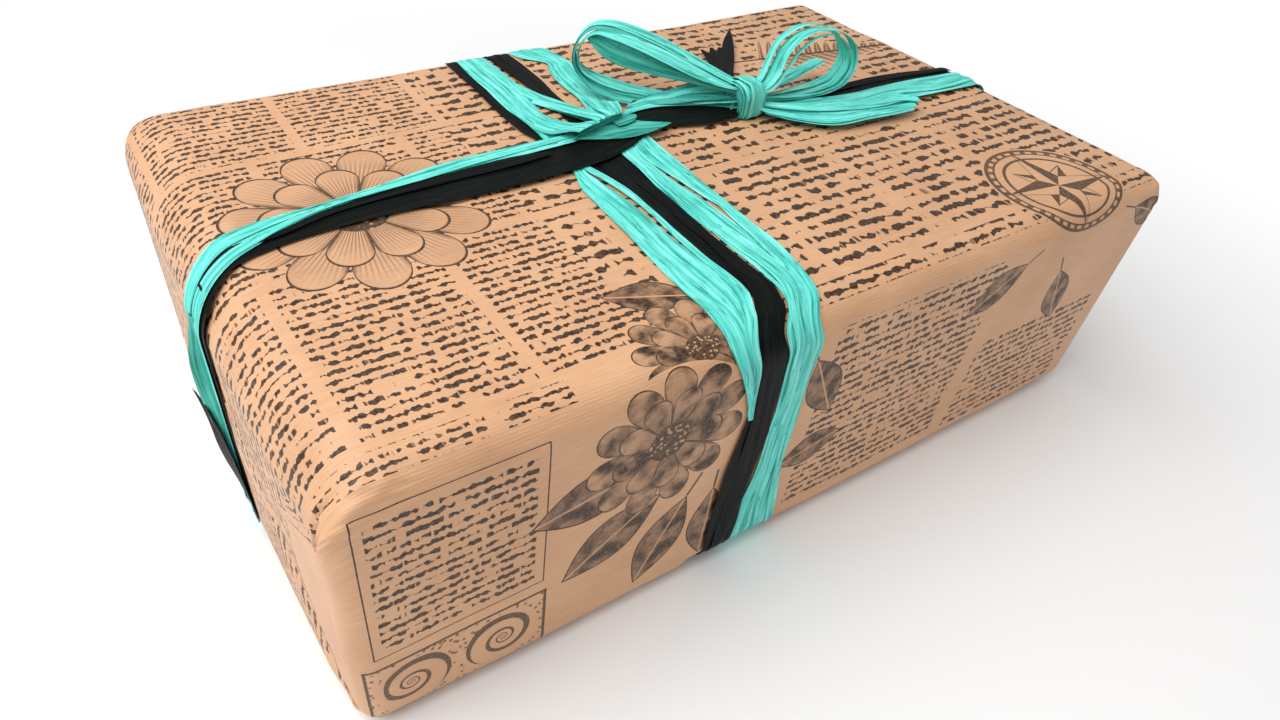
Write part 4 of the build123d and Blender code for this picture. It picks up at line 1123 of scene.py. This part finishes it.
shells_piece("black_lengthwise_raffia", [
    length_ribbon(black_strand, [(0, 0.0, 1.0)], 0.0, 0.12, 20.3),
    length_ribbon(black_strand, [
        (-148, 0.55, 0.9), (-110, 0.62, 1.0), (-70, 0.70, 1.06), (-45, 0.66, 0.94),
        (-36, 0.7, 0.8)], 0.62, 0.16, 21.9, (-147, -37)),
    length_ribbon(black_strand, [
        (58, 0.5, 0.9), (90, 0.62, 1.05), (120, 0.58, 1.0), (146, 0.5, 0.9)],
        0.5, 0.2, 22.4, (58, 146)),
    *[free_ribbon(np.insert(rows, [2, 4], ends_z + 0.1 * (i == 3), axis=1), 0.0, 0.14, 30.0 + i)
      for i, rows in enumerate(black_ends)],
    *[free_ribbon(rows, 0.0, 0.2, 36.0 + i, base=(split_x, 0, 0))
      for i, rows in enumerate(loose_splits)],
], [black_raffia], ["black_lengthwise"])


# The bow, tied from the teal strand round both lengthwise ones: a tight knot of a few turns,
# a wide loop to the back left, a round one to the right, a long end in front and a blunt one.
knot_width, knot_height, knot_round = 13.5, 12.0, 4.5
turn_inset, under_knot = 0.55, 0.35


def knot_turn(middle, width, bulge, lean, seed):
    """A turn round the knot: a closed ribbon on a rounded rectangle that leans by lean along
    the parcel between the knot's bottom and its top."""
    half, floor_z = knot_width / 2 - turn_inset + bulge, height + under_knot
    top_z = height + knot_height - turn_inset + bulge
    corners = [(-half, floor_z), (half, floor_z), (half, top_z), (-half, top_z)]
    points, facing = loop_path(corners, [2.0, 2.0, knot_round, knot_round], 0.7)
    y, z = points.T
    leaning = lean * (z - height - knot_height / 2) / knot_height * np.sign(facing[:, 0])
    x = bow_x + middle + leaning
    pinch = 1 - 0.22 * smooth_step(z, top_z - 4, top_z)
    centre = np.stack([x, bow_y + y, z], axis=1)
    across = np.array([[1.0, 0.0, 0.0]]) * (width * pinch / 2)[:, None]
    up = np.stack([0 * x, facing[:, 0], facing[:, 1]], axis=1)
    return ribbon(centre + across, centre - across, up, 0.0, 0.18, seed, 13, closed=True)


def bow_ribbon(turn, route, lift, creases, seed, columns=11, step=1.3):
    """A ribbon of a loop. Its route is in the upright plane that leaves the knot at an angle:
    distance from the knot, height over the paper, how far it is to the side, its width and
    its tilt in degrees. The width lies level and square to that plane, then tilts."""
    route = np.array(route, float)
    keys = length_along(route[:, :3])
    at = np.linspace(0, keys[-1], int(keys[-1] / step) + 2)
    out, rise, aside, width, tilt = smooth_run(at, keys, route).T
    away = np.array([math.cos(math.radians(turn)), math.sin(math.radians(turn)), 0.0])
    level = np.array([-away[1], away[0], 0.0])
    centre = away * out[:, None] + level * aside[:, None]
    centre = centre + [bow_x, bow_y, height] + np.array([0, 0, 1]) * rise[:, None]
    along = np.gradient(centre, axis=0)
    along /= np.linalg.norm(along, axis=1, keepdims=True)
    square = np.cross(along, level)
    square /= np.linalg.norm(square, axis=1, keepdims=True)
    tilt = np.radians(tilt)[:, None]
    across = level * np.cos(tilt) + square * np.sin(tilt)
    up = np.cross(along, across)
    half = across * width[:, None] / 2
    return ribbon(centre - half, centre + half, up, lift, creases, seed, columns)


left_turn, right_turn = 136.6, 4.0
left_loop = [
    [(0, 8.4, 0, 3, 0), (9.5, 11.2, -1.6, 4.8, -6), (22, 15.4, -2.4, 5.6, -8),
     (33.5, 19.6, -2.6, 5.8, -6), (42.5, 21.9, -2.6, 5.8, -4), (49.2, 22.7, -2.6, 5.6, -2),
     (54.6, 21.6, -2.2, 5.4, 0), (58.4, 18.2, -1.2, 5, 0), (60.2, 14, 0, 4.8, 0),
     (59.6, 9.8, 1.4, 4.8, 10), (55.6, 6.6, 2.6, 5.6, 25), (48.2, 4.4, 3.4, 6.4, 35),
     (40, 3.2, 3.8, 6.4, 35), (30, 2.9, 3.6, 5.6, 32), (18, 3, 2.6, 4, 20), (0, 4.6, 0.4, 2.6, 0)],
    [(0, 8, 0.4, 2.6, 0), (12.5, 10.6, 0.4, 4.4, -20), (21, 13.8, 0.6, 5.2, -25),
     (31, 17.8, 0.8, 5.4, -22), (40, 20.6, 0.8, 5.2, -15), (48.4, 22.1, 0.6, 5, -8),
     (54.2, 21.6, 0.6, 4.8, 0), (58, 18.4, 1.2, 4.4, 0), (59.5, 14, 2.2, 4.2, 0),
     (58.4, 9.4, 3.6, 4.2, 10), (54, 6.2, 5.4, 5, 25), (46.6, 3.8, 7, 5.4, 32),
     (37, 2.9, 7.6, 5.2, 32), (26, 3.4, 5.6, 4.2, 26), (14, 4.6, 2.8, 3, 15), (0, 5.4, 0.6, 2, 0)],
    [(0, 8, 1.2, 2.6, 0), (9, 9.8, 2.4, 3.6, -20), (18, 12.8, 3.4, 4.2, -35),
     (28, 16.4, 3.8, 4.4, -35), (38.5, 19.4, 3.8, 4.2, -25), (47, 20.9, 3.4, 3.8, -15),
     (53.4, 20.8, 2.8, 3.2, -5), (57.2, 17.4, 3, 2.6, 0), (58.4, 12.8, 3.8, 2.2, 0),
     (56.8, 8.6, 4.8, 2, 0), (51.4, 6.2, 5.6, 2, 0), (43, 4.4, 6, 1.8, 0), (33, 3.4, 5.4, 1.4, 0)],
    [(0, 7.4, 1, 2, -60), (10, 9, 2.2, 2.6, -75), (19, 10.6, 3.2, 3.4, -80),
     (28, 12, 3.6, 4.8, -82), (35, 13.4, 3.8, 6.2, -82), (41, 14.7, 3.8, 7.2, -82),
     (48.3, 16.6, 3.4, 6.6, -80), (52.8, 18.4, 2.8, 4.2, -75), (55.4, 19.2, 2.6, 2, -70)],
]
right_loop = [
    [(0, 7.8, -0.6, 2.4, 0), (8, 7.9, -1.4, 3.2, 0), (11.6, 12, -2.2, 3.2, 0),
     (14.2, 19.2, -2.4, 3.2, 0), (19, 23, -2.4, 3.5, 0), (26, 24.4, -2.4, 3.5, 0),
     (34, 23.8, -2.6, 3.5, 0), (42, 21.2, -2.8, 3.8, 0), (49.2, 15.4, -3.4, 4, 0),
     (50.8, 10, -4, 4.2, 0), (47.6, 4.8, -4.8, 4.2, 0), (40, 2.4, -5, 4, 0),
     (28, 2.4, -4.6, 3.8, 0), (14, 3.2, -2.6, 3.2, 0), (0, 5, -0.4, 2.2, 0)],
    [(0, 8.2, 0, 2.4, 0), (9.4, 8.8, 0.4, 3.2, 0), (13, 13.4, 0.6, 3.2, 0), (16, 19, 0.6, 3.2, 0),
     (21, 22.2, 0.6, 3.2, 0), (28, 23.4, 0.6, 3.2, 0), (36, 22.2, 0.4, 3.2, 0),
     (43, 18.6, 0, 3.5, 0), (48.4, 13.4, -0.8, 3.8, 0), (49, 8.6, -1.8, 4, 0),
     (44.6, 4.4, -2.6, 4, 0), (36, 3, -2.8, 3.8, 0), (24, 3, -2.2, 3.5, 0), (12, 3.8, -1, 3, 0),
     (0, 5.2, 0, 2.2, 0)],
    [(0, 8.6, 0.6, 2.2, 0), (8, 9.4, 2, 2.8, 0), (11.4, 14, 2.8, 2.8, 0), (14.6, 20.4, 3, 2.8, 0),
     (22, 24, 3, 3, 0), (31, 24.2, 3, 3, 0), (40, 21.6, 2.8, 3, 0), (47.2, 16.4, 2.2, 3.2, 0),
     (49.8, 10.6, 1.2, 3.2, 0), (46.4, 5.8, 0.2, 3.2, 0), (38, 3.8, -0.2, 3, 0),
     (26, 3.6, -0.2, 3, 0), (12, 4.2, 0, 2.8, 0), (0, 5.6, 0.2, 2, 0)],
    [(0, 7, -1.6, 1.4, 0), (10, 8.2, -3.4, 1.4, 0), (14.6, 14, -4, 1.3, 0),
     (19, 19.4, -4.2, 1.3, 0), (26, 22.4, -4.2, 1.4, 0), (34, 22.2, -4.2, 1.4, 0),
     (41, 19.2, -4.4, 1.4, 0), (47, 14, -5, 1.4, 0), (48, 9.2, -5.8, 1.4, 0),
     (44, 4.8, -6.4, 1.4, 0), (36, 3.2, -6.2, 1.4, 0), (22, 3.2, -4.4, 1.4, 0),
     (8, 4.4, -2, 1.2, 0), (0, 5.4, -0.6, 1.2, 0)],
]
# The ends' rows, with heights from just over the strands that they lie on
tail_z = height + 2.1
long_tail = [
    [(41, 8.6, 1.6, 41, 3.8, 1.4), (47, 4.8, 0.9, 44.8, -1.8, 0.8), (55.4, -0.4, 0.5, 52, -9, 0.4),
     (66, -7, 0.5, 61, -15.2, 0.3), (80.4, -10.6, 0.6, 79, -17.2, 0.4),
     (93, -13.6, 0.8, 92, -18.8, 0.5), (101, -15, 1, 99, -19, 0.7)],
    [(42, 9.6, 1.8, 41.6, 5.2, 1.6), (51, 5, 1.1, 48.6, -0.4, 1.1), (62, -2, 1, 59.4, -7.6, 1.1),
     (74, -5, 1.1, 73, -11.6, 1.1), (88, -8.4, 1, 87, -14.2, 1),
     (99.4, -10.6, 1.4, 97.6, -15.8, 1.3), (103, -15.6, 1.7, 101.6, -18.4, 1.4)],
    [(44.6, 3.6, 0.7, 43.6, -0.4, 0.5), (52, -5.6, 0.2, 50, -8.2, 0.1),
     (62, -12.8, -0.1, 60.4, -15.8, -0.2), (78, -14.6, -0.1, 77.4, -18.2, -0.2),
     (90, -17.2, 0.1, 89.6, -19.6, 0), (97.6, -18.8, 0.2, 97.2, -19.8, 0.2)],
]
blunt_tail = [
    (42.6, 10.6, 3.4, 43, 8, 3.2), (54, 13.6, 3.4, 54.6, 9.8, 3.4),
    (66, 17.4, 3.6, 67.6, 12.6, 3.4), (78, 21.4, 3.8, 79.6, 16, 3.8), (88, 24.6, 4, 90, 18.8, 4)]
shells_piece("teal_bow_raffia", [
    knot_turn(-2.8, 3.6, -0.55, 0.4, 40.1), knot_turn(-0.2, 6.2, 0.25, -0.4, 41.7),
    knot_turn(2.9, 3.8, -0.45, 0.5, 42.8),
    *[knot_turn(side * (4.0 - 0.35 * i), 2.2, -1.1 * (i + 1), 0.0, 44.0 + i + side)
      for side in (-1, 1) for i in range(4)],
    # Every other ribbon of the left loop takes the darker teal: painted shade for the loop's
    # shaded inner bands.
    *[(*bow_ribbon(left_turn, route, 0.0, 0.5, 50.0 + 1.7 * i), i % 2)
      for i, route in enumerate(left_loop)],
    *[bow_ribbon(right_turn, route, 0.0, 0.4, 60.0 + 1.7 * i)
      for i, route in enumerate(right_loop)],
    *[free_ribbon(rows, 0.1, 0.5, 70.0 + 1.3 * i, base=(0, 0, tail_z))
      for i, rows in enumerate(long_tail)],
    free_ribbon(blunt_tail, 0.0, 0.5, 76.0, base=(0, 0, tail_z)),
], teal_and_shaded_teal, ["teal_bow"])
